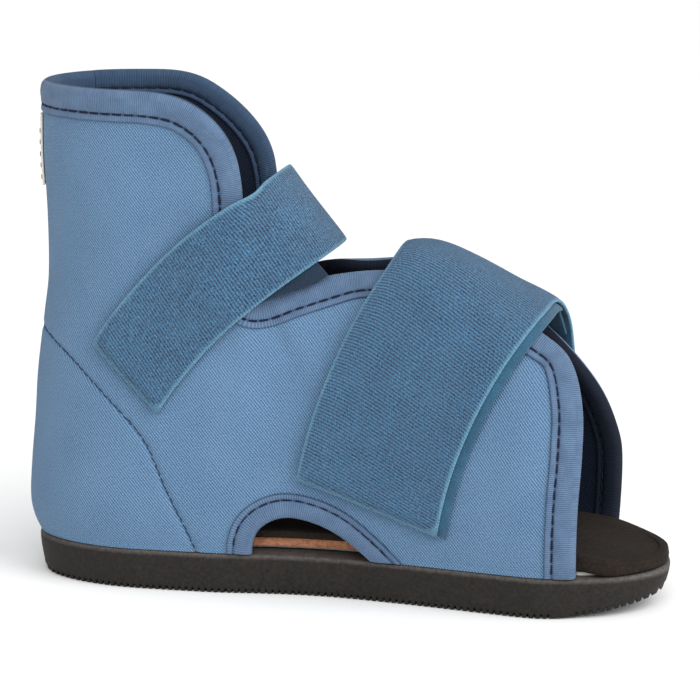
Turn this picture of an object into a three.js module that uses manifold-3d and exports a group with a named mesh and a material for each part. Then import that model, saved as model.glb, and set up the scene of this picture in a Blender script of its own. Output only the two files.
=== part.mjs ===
// Medical walking boot, left foot: a padded open-toed upper on a ribbed rubber sole, closed by two
// wide hook-and-loop straps. Millimetres. X runs from heel to toe, Y from the inner side of the foot
// to the outer side, Z up.
import * as THREE from "three";
import { mergeVertices } from "three/addons/utils/BufferGeometryUtils.js";
import Module from "manifold-3d";

const wasm = await Module();
wasm.setup();

// Sole
const SOLE_LENGTH = 280;
const SOLE_WIDTH = 90;
const SOLE_THICKNESS = 18;
const HEEL_ROUND = 52;
const TOE_ROUND = 46;
const TOE_SPRING = 8.5;
const TOE_SPRING_LENGTH = 58;
const TOE_TOP_RISE = 1.5;
const TOE_TOP_RISE_LENGTH = 28;
const SOLE_UNDERCUT = 3;
const SOLE_LIP = 0.8;
const TREAD_PITCH = 5.8;
const TREAD_GROOVE = 2.3;
const TREAD_DEPTH = 1.3;

// Footbed, from the sole up
const BOARD_THICKNESS = 1.5;
const CORE_THICKNESS = 5;
const COVER_THICKNESS = 2.2;
const FOOTBED_TOE_INSET = 1.5;
const FOOTBED_TOE_LENGTH = 44;
const FOOTBED_FREE_PLAY = 2;

// Upper
const UPPER_HEIGHT = 198;
const WALL = 4;
const SECTION_ROUNDNESS = 2.6;
const HEEL_FADE = 120;
const BINDING_WIDTH = 11;
const WINDOW_BINDING_WIDTH = 10;
const BINDING_CLOTH = 1;
const BINDING_JOINT_FROM_BACK = 18;
const FLAP_PARTING = 22;
const FLAP_PARTING_START = 0.4;

// Straps
const STRAP_THICKNESS = 1.8;
const BACKING_THICKNESS = 1.6;
const TAB_THICKNESS = 1.1;
const STRAP_EASE = 1;
const ANKLE_STRAP_WIDTH = 41;
const ANKLE_STRAP_CROSSING = 0.4225;
const ANKLE_STRAP_TILT = 46;
const ANKLE_STRAP_BOW = 6;
const ANKLE_STRAP_NEAR_REACH = 96.5;
const ANKLE_STRAP_FAR_REACH = 92;
const ANKLE_CREST_REACH = 3;
const ANKLE_CREST_TURN = -3.6;
const ANKLE_ARCH_REAR = 15;
const ANKLE_ARCH_FRONT = 46;
const ANKLE_ARCH_ROUNDNESS = 2.3;
const ANKLE_LETS_GO = 0.7;
const ANKLE_TAB_FROM = -0.64;
const ANKLE_TAB_TO = -0.25;
const FOREFOOT_STRAP_WIDTH = 66;
const FOREFOOT_STRAP_CROSSING = 0.7;
const FOREFOOT_STRAP_TILT = 17;
const FOREFOOT_STRAP_LEAN = 6.5;
const FOREFOOT_STRAP_FAR_LEAN = -19;
const FOREFOOT_STRAP_BOW = 6;
const FOREFOOT_STRAP_NEAR_REACH = 104;
const FOREFOOT_STRAP_FAR_REACH = 88;
const FOREFOOT_BACKING_TO = 0.2;
const FOREFOOT_BACKING_SHIFT = 3.5;
const STACK_END = 0.3;
const UPPER_CONTACT = 0.85;

// Label on the back of the shaft
const LABEL_WIDTH = 20;
const LABEL_HEIGHT = 31;
const LABEL_DROP = 13;
const LABEL_THICKNESS = 0.8;

// Clearances between pieces that lie against each other
const GAP = 0.3;

// Fineness of the facets, and reach of the grid that the upper is cut from
const SOLE_STATIONS = 24;
const UPPER_COLUMNS = 24;
const UPPER_ROWS = [0, 0.05, 0.14, 0.28, 0.44, 0.6, 0.74, 0.86, 0.94, 1];
const COLUMN_CROWDING = 0.3;
const GRID_FRONT = 0.93;
const GRID_TOP = 1.02;
const NEAR_THE_RIDGE = 0.998;
const EDGE_POINTS = 30;
const SEAM_POINTS = 10;
const WINDOW_POINTS = 15;
const STRAP_STATIONS = 11;
const STRAP_STRIPS = 5;
const LABEL_CELLS = 3;

// Steps of the searches and slopes, and the distance below which two points are one
const STEP = 0.5;
const TURN_STEP = 0.02;
const BACK_LINE_PASSES = 4;
const RIDGE_PASSES = 40;
const RIDGE_SEARCH = 66;
const SAME_POINT = 1e-4;

// Plan of the sole: half widths and the drift of the middle line as shares of SOLE_WIDTH. "closing"
// says how early the upper's cross-section closes over the instep: 0 never, 1 at the rim's height.
const PLAN_ROWS = [
  { along: 0.0, medial: 0.355, lateral: 0.355, drift: 0.0, closing: 0.0 },
  { along: 0.29, medial: 0.355, lateral: 0.36, drift: 0.0, closing: 0.0 },
  { along: 0.345, medial: 0.34, lateral: 0.365, drift: 0.0, closing: 0.35 },
  { along: 0.38, medial: 0.326, lateral: 0.37, drift: 0.0, closing: 1.2 },
  { along: 0.43, medial: 0.313, lateral: 0.382, drift: 0.0, closing: 1.4 },
  { along: 0.475, medial: 0.313, lateral: 0.4, drift: 0.0, closing: 1.53 },
  { along: 0.51, medial: 0.32, lateral: 0.42, drift: 0.0, closing: 1.575 },
  { along: 0.56, medial: 0.34, lateral: 0.457, drift: 0.0, closing: 1.555 },
  { along: 0.62, medial: 0.365, lateral: 0.5, drift: -0.002, closing: 1.535 },
  { along: 0.68, medial: 0.39, lateral: 0.535, drift: -0.01, closing: 1.605 },
  { along: 0.74, medial: 0.412, lateral: 0.55, drift: -0.022, closing: 1.72 },
  { along: 0.81, medial: 0.42, lateral: 0.555, drift: -0.045, closing: 1.885 },
  { along: 0.88, medial: 0.37, lateral: 0.53, drift: -0.07, closing: 2.2 },
  { along: 1.0, medial: 0.34, lateral: 0.5, drift: -0.09, closing: 2.9 },
];

// Back line of the upper as a share of SOLE_LENGTH forward of the sole's back, and the gain in width
// over the sole's plan, by height above the sole as a share of UPPER_HEIGHT.
const HEIGHT_ROWS = [
  { up: 0.0, back: 0.002, gain: 0.98 },
  { up: 0.03, back: -0.008, gain: 1.02 },
  { up: 0.07, back: -0.014, gain: 1.05 },
  { up: 0.16, back: -0.011, gain: 1.06 },
  { up: 0.26, back: -0.005, gain: 1.05 },
  { up: 0.36, back: 0.0, gain: 1.03 },
  { up: 0.5, back: 0.014, gain: 1.03 },
  { up: 0.58, back: 0.021, gain: 1.04 },
  { up: 0.72, back: 0.021, gain: 1.08 },
  { up: 0.85, back: 0.018, gain: 1.11 },
  { up: 1.0, back: 0.02, gain: 1.14 },
];

// Edges of the panels seen from the side: along is a share of SOLE_LENGTH, up of UPPER_HEIGHT.
const MEDIAL_EDGE = [
  { along: -0.06, up: 1.0 },
  { along: 0.12, up: 1.0 },
  { along: 0.23, up: 0.996 },
  { along: 0.287, up: 0.97 },
  { along: 0.329, up: 0.912 },
  { along: 0.349, up: 0.83 },
  { along: 0.353, up: 0.71 },
  { along: 0.351, up: 0.615 },
  { along: 0.36, up: 0.568 },
  { along: 0.38, up: 0.556 },
  { along: 0.43, up: 0.582 },
  { along: 0.5, up: 0.608 },
  { along: 0.584, up: 0.619 },
  { along: 0.66, up: 0.607 },
  { along: 0.74, up: 0.56 },
  { along: 0.804, up: 0.508 },
  { along: 0.848, up: 0.456 },
  { along: 0.868, up: 0.37 },
  { along: 0.871, up: 0.27 },
  { along: 0.867, up: 0.15 },
  { along: 0.865, up: 0.0 },
];

const LATERAL_EDGE = [
  { along: -0.06, up: 1.0 },
  { along: 0.12, up: 1.0 },
  { along: 0.213, up: 0.994 },
  { along: 0.27, up: 0.955 },
  { along: 0.318, up: 0.892 },
  { along: 0.345, up: 0.82 },
  { along: 0.355, up: 0.71 },
  { along: 0.354, up: 0.61 },
  { along: 0.358, up: 0.56 },
  { along: 0.38, up: 0.55 },
  { along: 0.43, up: 0.592 },
  { along: 0.49, up: 0.612 },
  { along: 0.55, up: 0.619 },
  { along: 0.62, up: 0.624 },
  { along: 0.7, up: 0.575 },
  { along: 0.77, up: 0.49 },
  { along: 0.83, up: 0.405 },
  { along: 0.868, up: 0.33 },
  { along: 0.891, up: 0.24 },
  { along: 0.897, up: 0.17 },
  { along: 0.892, up: 0.0 },
];

const HEEL_SEAM = [
  { along: -0.06, up: 0.488 },
  { along: 0.01, up: 0.468 },
  { along: 0.07, up: 0.425 },
  { along: 0.14, up: 0.34 },
  { along: 0.2, up: 0.25 },
  { along: 0.235, up: 0.14 },
  { along: 0.272, up: 0.03 },
  { along: 0.285, up: -0.04 },
];

// Arched window at the sole line of the inner side.
const WINDOW_EDGE = [
  { along: 0.37, up: -0.03 },
  { along: 0.37, up: 0.02 },
  { along: 0.385, up: 0.062 },
  { along: 0.42, up: 0.086 },
  { along: 0.462, up: 0.081 },
  { along: 0.505, up: 0.055 },
  { along: 0.548, up: 0.01 },
  { along: 0.572, up: -0.03 },
];

const COLOURS = {
  neoprene: { color: 0x6e8fb0, roughness: 0.85, metalness: 0 },
  binding: { color: 0x55749a, roughness: 0.8, metalness: 0 },
  strap: { color: 0x3a6f94, roughness: 0.9, metalness: 0 },
  backing: { color: 0x2a5670, roughness: 0.95, metalness: 0 },
  rubber: { color: 0x2f2c2a, roughness: 0.75, metalness: 0 },
  board: { color: 0xe6e4de, roughness: 0.9, metalness: 0 },
  cork: { color: 0xb88a63, roughness: 0.9, metalness: 0 },
  suede: { color: 0x37302a, roughness: 0.95, metalness: 0 },
  label: { color: 0xe6e1d2, roughness: 0.85, metalness: 0 },
};

const MEDIAL = -1;
const LATERAL = 1;
const CLEAR_OF_ALL = 2 * SOLE_WIDTH;

// A smooth curve through the rows of a table, read at one place.
function read(rows, key, column, at) {
  const last = rows.length - 1;
  const place = THREE.MathUtils.clamp(at, rows[0][key], rows[last][key]);
  let i = 0;
  while (i < last - 1 && rows[i + 1][key] < place) i += 1;
  const slope = (k) => {
    const before = rows[Math.max(k - 1, 0)];
    const after = rows[Math.min(k + 1, last)];
    return (after[column] - before[column]) / (after[key] - before[key]);
  };
  const run = rows[i + 1][key] - rows[i][key];
  const t = (place - rows[i][key]) / run;
  const start = rows[i][column];
  const rise = rows[i + 1][column] - start;
  const lean = run * slope(i) - rise;
  const settle = rise - run * slope(i + 1);
  return start + t * rise + t * (1 - t) * ((1 - t) * lean + t * settle);
}

const plan = (column, x) => read(PLAN_ROWS, "along", column, x / SOLE_LENGTH);
const halfWidth = (side, x) => SOLE_WIDTH * plan(side < 0 ? "medial" : "lateral", x);
const middle = (x) => SOLE_WIDTH * plan("drift", x);

// Quarter ellipse that rounds an end: 0 at the end itself, 1 from one radius inwards.
function roundEnd(distance, radius) {
  const left = 1 - THREE.MathUtils.clamp(distance / radius, 0, 1);
  return Math.sqrt(1 - left * left);
}

// Geometry and manifold solids
function solidOf(geometry) {
  const bare = geometry.clone();
  bare.deleteAttribute("normal");
  bare.deleteAttribute("uv");
  const merged = mergeVertices(bare, SAME_POINT);
  const vertProperties = new Float32Array(merged.attributes.position.array);
  const triVerts = new Uint32Array(merged.index.array);
  return new wasm.Manifold(new wasm.Mesh({ numProp: 3, vertProperties, triVerts }));
}

function surfaceOf(points, triangles) {
  const places = points.flatMap((point) => point.toArray());
  const geometry = new THREE.BufferGeometry();
  geometry.setAttribute("position", new THREE.Float32BufferAttribute(places, 3));
  geometry.setIndex(triangles);
  return geometry;
}

// Closed solid between two grids of points, the outer grid facing out.
function slab(outer, inner) {
  const columns = outer[0].length;
  const perLayer = outer.length * columns;
  const lastRow = outer.length - 1;
  const lastColumn = columns - 1;
  const points = [...outer.flat(), ...inner.flat()];
  const out = (i, j) => i * columns + j;
  const back = (i, j) => perLayer + out(i, j);
  const triangles = [];
  const quad = (a, b, c, d) => triangles.push(a, b, c, a, c, d);
  for (let i = 0; i < lastRow; i += 1) {
    for (let j = 0; j < lastColumn; j += 1) {
      quad(out(i, j), out(i + 1, j), out(i + 1, j + 1), out(i, j + 1));
      quad(back(i, j), back(i, j + 1), back(i + 1, j + 1), back(i + 1, j));
    }
    quad(out(i + 1, 0), out(i, 0), back(i, 0), back(i + 1, 0));
    quad(out(i, lastColumn), out(i + 1, lastColumn), back(i + 1, lastColumn), back(i, lastColumn));
  }
  for (let j = 0; j < lastColumn; j += 1) {
    quad(out(0, j), out(0, j + 1), back(0, j + 1), back(0, j));
    quad(out(lastRow, j + 1), out(lastRow, j), back(lastRow, j), back(lastRow, j + 1));
  }
  const solid = solidOf(surfaceOf(points, triangles));
  if (solid.volume() > 0) return solid;
  for (let k = 0; k < triangles.length; k += 3) {
    [triangles[k + 1], triangles[k + 2]] = [triangles[k + 2], triangles[k + 1]];
  }
  return solidOf(surfaceOf(points, triangles));
}

// Prism of a side-view polygon between two places across the boot.
function prism(polygon, fromY, toY) {
  const shape = new THREE.Shape(polygon);
  const geometry = new THREE.ExtrudeGeometry(shape, { depth: toY - fromY, bevelEnabled: false });
  geometry.rotateX(Math.PI / 2);
  geometry.translate(0, toY, 0);
  return solidOf(geometry);
}

function block(fromX, toX, fromY, toY, fromZ, toZ) {
  const geometry = new THREE.BoxGeometry(toX - fromX, toY - fromY, toZ - fromZ);
  geometry.translate((fromX + toX) / 2, (fromY + toY) / 2, (fromZ + toZ) / 2);
  return solidOf(geometry);
}

function meshOf(name, solid, finish) {
  const mesh = solid.getMesh();
  const geometry = new THREE.BufferGeometry();
  geometry.setAttribute("position", new THREE.BufferAttribute(mesh.vertProperties, 3));
  geometry.setIndex(new THREE.BufferAttribute(mesh.triVerts, 1));
  geometry.computeVertexNormals();
  const made = new THREE.Mesh(geometry, new THREE.MeshStandardMaterial(COLOURS[finish]));
  made.name = name;
  return made;
}

// Sole and footbed
const toeShare = (x, length) => Math.max(0, 1 - (SOLE_LENGTH - x) / length);
const soleBottom = (x) => TOE_SPRING * toeShare(x, TOE_SPRING_LENGTH) ** 2;
const soleTop = (x) => SOLE_THICKNESS + TOE_TOP_RISE * toeShare(x, TOE_TOP_RISE_LENGTH) ** 2;

// One side of a plan outline set in from the sole's edge, from the heel to the toe.
function planEdge(side, inset) {
  const edge = [];
  for (let i = 0; i <= SOLE_STATIONS; i += 1) {
    const share = (1 - Math.cos((Math.PI * i) / SOLE_STATIONS)) / 2;
    const reach = share < 0.5 ? inset(0) : inset(SOLE_LENGTH);
    const x = THREE.MathUtils.lerp(inset(0), SOLE_LENGTH - inset(SOLE_LENGTH), share);
    const toHeel = roundEnd(x - inset(0), HEEL_ROUND);
    const toToe = roundEnd(SOLE_LENGTH - inset(SOLE_LENGTH) - x, TOE_ROUND);
    const half = halfWidth(side, x) - THREE.MathUtils.lerp(reach, inset(x), toHeel * toToe);
    edge.push(new THREE.Vector2(x, middle(x) + side * half * toHeel * toToe));
  }
  return edge;
}

// Solid of stacked rings, each with its inset from the sole's edge and its height as functions of x.
function stackedRings(levels) {
  const points = [];
  const triangles = [];
  const perRing = 2 * SOLE_STATIONS;
  for (const level of levels) {
    const near = planEdge(MEDIAL, level.inset);
    const far = planEdge(LATERAL, level.inset).reverse();
    const ring = [...near, ...far.slice(1, -1)];
    points.push(...ring.map((p) => new THREE.Vector3(p.x, p.y, level.height(p.x))));
  }
  for (let k = 0; k < levels.length - 1; k += 1) {
    for (let i = 0; i < perRing; i += 1) {
      const a = k * perRing + i;
      const b = k * perRing + ((i + 1) % perRing);
      triangles.push(a, b, b + perRing, a, b + perRing, a + perRing);
    }
  }
  const top = (levels.length - 1) * perRing;
  const across = (i) => (perRing - i) % perRing;
  for (let i = 0; i < SOLE_STATIONS; i += 1) {
    const corners = [i, i + 1, across(i + 1), across(i)];
    for (const [base, order] of [[0, [0, 2, 1, 0, 3, 2]], [top, [0, 1, 2, 0, 2, 3]]]) {
      for (let k = 0; k < order.length; k += 3) {
        const face = order.slice(k, k + 3).map((n) => base + corners[n]);
        if (new Set(face).size === 3) triangles.push(...face);
      }
    }
  }
  return solidOf(surfaceOf(points, triangles));
}

const steady = (value) => () => value;

function outsole() {
  const flank = (SOLE_THICKNESS - SOLE_LIP) / 2;
  let solid = stackedRings([
    { inset: steady(SOLE_UNDERCUT), height: soleBottom },
    { inset: steady(SOLE_UNDERCUT / 2), height: (x) => soleBottom(x) + TREAD_DEPTH + SOLE_LIP },
    { inset: steady(0), height: (x) => (soleBottom(x) + soleTop(x) + flank) / 2 },
    { inset: steady(0), height: (x) => soleTop(x) - SOLE_LIP },
    { inset: steady(SOLE_LIP), height: soleTop },
  ]);
  for (let x = TREAD_PITCH; x < SOLE_LENGTH - TREAD_PITCH; x += TREAD_PITCH) {
    const floor = Math.min(soleBottom(x), soleBottom(x + TREAD_GROOVE));
    const roof = soleBottom(x + TREAD_GROOVE / 2) + TREAD_DEPTH;
    const groove = block(x, x + TREAD_GROOVE, -CLEAR_OF_ALL, CLEAR_OF_ALL, floor - TREAD_DEPTH, roof);
    solid = solid.subtract(groove);
  }
  return solid;
}

// The footbed fills the inside of the upper, and reaches nearly to the sole's edge at the open toe.
function footbedInset(x) {
  const open = THREE.MathUtils.smoothstep(toeShare(x, FOOTBED_TOE_LENGTH), 0, 1 / 2);
  return THREE.MathUtils.lerp(WALL + FOOTBED_FREE_PLAY, FOOTBED_TOE_INSET, open);
}

function footbedLayer(above, thickness, extraInset, edgeRound) {
  const inset = (x) => footbedInset(x) + extraInset;
  return stackedRings([
    { inset, height: (x) => soleTop(x) + above },
    { inset, height: (x) => soleTop(x) + above + thickness - edgeRound },
    { inset: (x) => inset(x) + edgeRound, height: (x) => soleTop(x) + above + thickness },
  ]);
}

const BOARD_ABOVE = GAP;
const CORE_ABOVE = BOARD_ABOVE + BOARD_THICKNESS + GAP;
const COVER_ABOVE = CORE_ABOVE + CORE_THICKNESS + GAP;

const insoleBoard = () => footbedLayer(BOARD_ABOVE, BOARD_THICKNESS, COVER_THICKNESS / 2, GAP);
const footbedCore = () => footbedLayer(CORE_ABOVE, CORE_THICKNESS, COVER_THICKNESS + GAP, GAP);

// The cover lies on the core and is rolled down round its edge.
function footbedCover() {
  const whole = footbedLayer(CORE_ABOVE, CORE_THICKNESS + GAP + COVER_THICKNESS, 0, COVER_THICKNESS / 2);
  const room = footbedLayer(CORE_ABOVE - GAP, CORE_THICKNESS + 2 * GAP, COVER_THICKNESS, GAP / 2);
  return whole.subtract(room);
}

// Form of the upper: its outer face as a function of the place along the boot and the height
const upShare = (z) => (z - SOLE_THICKNESS) / UPPER_HEIGHT;
const backLine = (z) => SOLE_LENGTH * read(HEIGHT_ROWS, "up", "back", upShare(z));
const widthGain = (z) => read(HEIGHT_ROWS, "up", "gain", upShare(z));
const shiftAt = (run, z) => backLine(z) * Math.max(0, 1 - run / HEEL_FADE);
const closingAt = (x) => Math.max(0, plan("closing", x));

function narrowing(x, z) {
  const closed = THREE.MathUtils.clamp(Math.max(0, upShare(z)) * closingAt(x), 0, 1);
  return (1 - closed ** SECTION_ROUNDNESS) ** (1 / SECTION_ROUNDNESS);
}

function faceY(side, x, z, rounding) {
  return middle(x) + side * halfWidth(side, x) * widthGain(z) * rounding * narrowing(x, z);
}

// Distance across the boot of the outer face at a place seen from the side.
function faceSeenAt(side, x, z) {
  let run = x;
  for (let pass = 0; pass < BACK_LINE_PASSES; pass += 1) run = x - shiftAt(run, z);
  return faceY(side, x, z, roundEnd(run, HEEL_ROUND));
}

const QUARTER_TURN = (HEEL_ROUND * Math.PI) / 2;

// Point of the outer face: arc runs round the heel from the middle of the back, negative on the
// inner side.
function facePoint(arc, z) {
  const side = arc < 0 ? MEDIAL : LATERAL;
  const turn = Math.min(Math.abs(arc), QUARTER_TURN) / HEEL_ROUND;
  const run = HEEL_ROUND * (1 - Math.cos(turn)) + Math.max(0, Math.abs(arc) - QUARTER_TURN);
  const x = run + shiftAt(run, z);
  return new THREE.Vector3(x, faceY(side, x, z, Math.sin(turn)), z);
}

function offsetPoint(pointAt, s, t, offset) {
  const alongS = pointAt(s + STEP, t).sub(pointAt(s - STEP, t));
  const alongT = pointAt(s, t + STEP).sub(pointAt(s, t - STEP));
  const out = alongT.cross(alongS).normalize();
  return pointAt(s, t).addScaledVector(out, offset);
}

// Highest point that the grid of the upper needs at an arc from the back.
function gridTop(arc) {
  const x = facePoint(arc, SOLE_THICKNESS).x;
  const closed = closingAt(x);
  const ridge = closed > 0 ? NEAR_THE_RIDGE / closed : Infinity;
  return SOLE_THICKNESS + UPPER_HEIGHT * Math.min(GRID_TOP, ridge);
}

// Columns of the grid stand closer together at the ankle bend, halfway along.
function crowded(share) {
  return share + (COLUMN_CROWDING * Math.sin(2 * Math.PI * share)) / (2 * Math.PI);
}

// Slab of the whole upper between two offsets from its outer face.
function upperSlab(outwards, inwards) {
  const frontArc = GRID_FRONT * SOLE_LENGTH - HEEL_ROUND + QUARTER_TURN;
  const bottom = SOLE_THICKNESS - 2 * GAP;
  const grid = (offset) => {
    const rows = [];
    for (const share of UPPER_ROWS) {
      const row = [];
      for (let j = -UPPER_COLUMNS; j <= UPPER_COLUMNS; j += 1) {
        const arc = frontArc * crowded(j / UPPER_COLUMNS);
        const z = THREE.MathUtils.lerp(bottom, gridTop(arc), share);
        row.push(offsetPoint(facePoint, arc, z, offset));
      }
      rows.push(row);
    }
    return rows;
  };
  return slab(grid(outwards), grid(-inwards));
}

// Outlines seen from the side
function outline(rows, points) {
  const spots = rows.map(
    (row) => new THREE.Vector2(row.along * SOLE_LENGTH, SOLE_THICKNESS + row.up * UPPER_HEIGHT),
  );
  return new THREE.SplineCurve(spots).getSpacedPoints(points);
}

// The same outline moved sideways, positive to the left of its direction.
function moved(path, distance) {
  return path.map((point, i) => {
    const before = path[Math.max(i - 1, 0)];
    const after = path[Math.min(i + 1, path.length - 1)];
    const tangent = after.clone().sub(before).normalize();
    return new THREE.Vector2(point.x - tangent.y * distance, point.y + tangent.x * distance);
  });
}

const band = (path, left, right) => [...moved(path, left), ...moved(path, -right).reverse()];
const BOTH_SIDES = [-CLEAR_OF_ALL, CLEAR_OF_ALL];
const reachOf = (side) => (side < 0 ? [-CLEAR_OF_ALL, -GAP / 2] : [GAP / 2, CLEAR_OF_ALL]);

const EDGES = {
  [MEDIAL]: outline(MEDIAL_EDGE, EDGE_POINTS),
  [LATERAL]: outline(LATERAL_EDGE, EDGE_POINTS),
};
const SEAM = outline(HEEL_SEAM, SEAM_POINTS);
const WINDOW = outline(WINDOW_EDGE, WINDOW_POINTS);

// Open slot over the instep, between the flaps of the two sides.
function parting(narrowedBy) {
  const half = FLAP_PARTING / 2 - narrowedBy;
  return block(FLAP_PARTING_START * SOLE_LENGTH, 2 * SOLE_LENGTH, -half, half, 0, 2 * UPPER_HEIGHT);
}

// Region of one side panel inside its edge, with the edge moved outwards.
function panelRegion(side, grow, reach) {
  const path = moved(EDGES[side], grow);
  const corner = new THREE.Vector2(path[0].x, path[path.length - 1].y);
  return prism([...path, corner], ...reach).subtract(parting(grow));
}

function aboveFloor(solid) {
  const floor = SOLE_THICKNESS + GAP;
  const under = block(-CLEAR_OF_ALL, 2 * SOLE_LENGTH, ...BOTH_SIDES, -SOLE_THICKNESS, floor);
  return solid.subtract(under);
}

function belowSeam(clearance) {
  const path = moved(SEAM, -clearance);
  const low = new THREE.Vector2(path[0].x, path[path.length - 1].y);
  return prism([...path, low], ...BOTH_SIDES);
}

const windowRegion = (grow) => prism(moved(WINDOW, grow), ...reachOf(MEDIAL));

const wall = upperSlab(0, WALL);
const wallRoom = upperSlab(GAP, WALL + GAP);
const bindingWall = upperSlab(GAP + BINDING_CLOTH, WALL + GAP + BINDING_CLOTH);

function quarter(side) {
  const whole = aboveFloor(wall.intersect(panelRegion(side, 0, reachOf(side))));
  const upper = whole.subtract(belowSeam(-GAP));
  return side === MEDIAL ? upper.subtract(windowRegion(0)) : upper;
}

const heelCounter = () => aboveFloor(wall.intersect(belowSeam(0)));

// Zone of the upper's edge that the binding covers, seen from the side.
function edgeZone(side, reach) {
  const cloth = GAP + BINDING_CLOTH;
  return prism(band(EDGES[side], cloth, BINDING_WIDTH), ...reach).subtract(parting(cloth));
}

function channel(zone, filling) {
  return aboveFloor(bindingWall.intersect(zone)).subtract(wallRoom.intersect(filling));
}

// The binding of the inner side runs on round the back, to its joint on the outer side.
function bindingMedial() {
  const pastJoint = block(BINDING_JOINT_FROM_BACK, 2 * SOLE_LENGTH, 0, CLEAR_OF_ALL, 0, 2 * UPPER_HEIGHT);
  const zone = edgeZone(MEDIAL, BOTH_SIDES).subtract(pastJoint);
  return channel(zone, panelRegion(MEDIAL, GAP, BOTH_SIDES));
}

function bindingLateral() {
  const start = BINDING_JOINT_FROM_BACK + GAP;
  const pastJoint = block(start, 2 * SOLE_LENGTH, GAP, CLEAR_OF_ALL, 0, 2 * UPPER_HEIGHT);
  const zone = edgeZone(LATERAL, BOTH_SIDES).intersect(pastJoint);
  return channel(zone, panelRegion(LATERAL, GAP, BOTH_SIDES));
}

function windowBinding() {
  const zone = prism(band(WINDOW, WINDOW_BINDING_WIDTH, GAP + BINDING_CLOTH), ...reachOf(MEDIAL));
  const outside = panelRegion(MEDIAL, 0, BOTH_SIDES).subtract(windowRegion(-GAP));
  return channel(zone, outside);
}

// Straps
// A strap lies on the form of the upper. Its places are measured from where its middle line crosses
// the instep: reach runs up along the strap, across runs forward over its width.
function strapFrame(tilt, leans, crossing) {
  const angle = THREE.MathUtils.degToRad(tilt);
  const ridge = SOLE_THICKNESS + UPPER_HEIGHT / closingAt(crossing);
  const towardsCrest = (lean) => {
    const leaning = angle + THREE.MathUtils.degToRad(lean);
    return new THREE.Vector2(Math.sin(leaning), Math.cos(leaning));
  };
  return {
    up: towardsCrest(leans.near),
    farUp: towardsCrest(leans.far),
    forward: new THREE.Vector2(Math.cos(angle), -Math.sin(angle)),
    origin: new THREE.Vector2(crossing, ridge),
  };
}

function strapSpot(frame, reach, across) {
  return frame.origin.clone().addScaledVector(frame.up, reach).addScaledVector(frame.forward, across);
}

// Reach at which a line of the strap meets the instep.
function ridgeReach(frame, across) {
  let low = -RIDGE_SEARCH;
  let high = RIDGE_SEARCH;
  for (let pass = 0; pass < RIDGE_PASSES; pass += 1) {
    const reach = (low + high) / 2;
    const spot = strapSpot(frame, reach, across);
    const closed = upShare(spot.y) * closingAt(spot.x);
    if (closed < 1) low = reach;
    else high = reach;
  }
  return low;
}

// The ankle strap crosses the open ankle bend in an arch of its own, with a straight crest.
function archedY(side, spot, reach, top, across) {
  const place = across / ANKLE_STRAP_WIDTH + 1 / 2;
  const start = -THREE.MathUtils.lerp(ANKLE_ARCH_REAR, ANKLE_ARCH_FRONT, place);
  const share = THREE.MathUtils.clamp((reach - start) / (top - start), 0, 1);
  const arch = (1 - share ** ANKLE_ARCH_ROUNDNESS) ** (1 / ANKLE_ARCH_ROUNDNESS);
  const full = halfWidth(side, spot.x) * widthGain(spot.y) * roundEnd(spot.x, HEEL_ROUND);
  const held = 1 - THREE.MathUtils.smoothstep(share, ANKLE_LETS_GO, 1);
  const onUpper = side * (faceSeenAt(side, spot.x, spot.y) - middle(spot.x));
  return side * Math.max(onUpper * held, full * arch);
}

const crestReach = (across) =>
  ANKLE_CREST_REACH + across * Math.tan(THREE.MathUtils.degToRad(ANKLE_CREST_TURN));

// turn runs from -1 at the end on the inner side through 0 on the instep to 1 at the far end.
function strapPoint(strap, turn, across) {
  const side = turn < 0 ? MEDIAL : LATERAL;
  const top = strap.arched ? crestReach(across) : ridgeReach(strap.frame, across);
  const length = top + (side < 0 ? strap.nearReach : strap.farReach);
  const rise = Math.cos((Math.min(Math.abs(turn), 1) * Math.PI) / 2) ** (2 / SECTION_ROUNDNESS);
  const bowed = across - 4 * strap.bow * rise * (1 - rise);
  const along = side < 0 ? strap.frame.up : strap.frame.farUp;
  const spot = strapSpot(strap.frame, top, bowed).addScaledVector(along, length * (rise - 1));
  const y = strap.arched
    ? archedY(side, spot, top + length * (rise - 1), top, across)
    : faceSeenAt(side, spot.x, spot.y);
  return new THREE.Vector3(spot.x, y, spot.y);
}

function liftedPoint(strap, turn, across, lift) {
  const at = (t, a) => strapPoint(strap, THREE.MathUtils.clamp(t, -1, 1), a);
  const alongTurn = at(turn + TURN_STEP, across).sub(at(turn - TURN_STEP, across));
  const alongAcross = at(turn, across + STEP).sub(at(turn, across - STEP));
  const out = alongAcross.cross(alongTurn).normalize();
  return at(turn, across).addScaledVector(out, lift);
}

function strapSlab(strap) {
  const layer = (offset) => {
    const rows = [];
    for (let i = -STRAP_STATIONS; i <= STRAP_STATIONS; i += 1) {
      const turn = i / STRAP_STATIONS;
      if (turn < strap.from || turn > strap.to) continue;
      const row = [];
      for (let j = 0; j <= STRAP_STRIPS; j += 1) {
        const across = strap.shift + strap.width * (j / STRAP_STRIPS - 0.5);
        row.push(liftedPoint(strap, turn, across, offset(turn)));
      }
      rows.push(row);
    }
    return rows;
  };
  return slab(layer((turn) => strap.lift(turn) + strap.thickness), layer(strap.lift));
}

const REST_LIFT = 2 * GAP + BINDING_CLOTH + STRAP_EASE;
const STACKED_LIFT = REST_LIFT + BACKING_THICKNESS + GAP + STRAP_EASE;

// The strap lies on its backing up to the instep, and is sewn down on the upper at its far end.
function strapLift(turn) {
  const comingDown = THREE.MathUtils.smoothstep(turn, STACK_END, UPPER_CONTACT);
  const sewn = THREE.MathUtils.smoothstep(turn, UPPER_CONTACT, 1);
  return THREE.MathUtils.lerp(THREE.MathUtils.lerp(STACKED_LIFT, REST_LIFT, comingDown), 2 * GAP, sewn);
}

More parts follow.
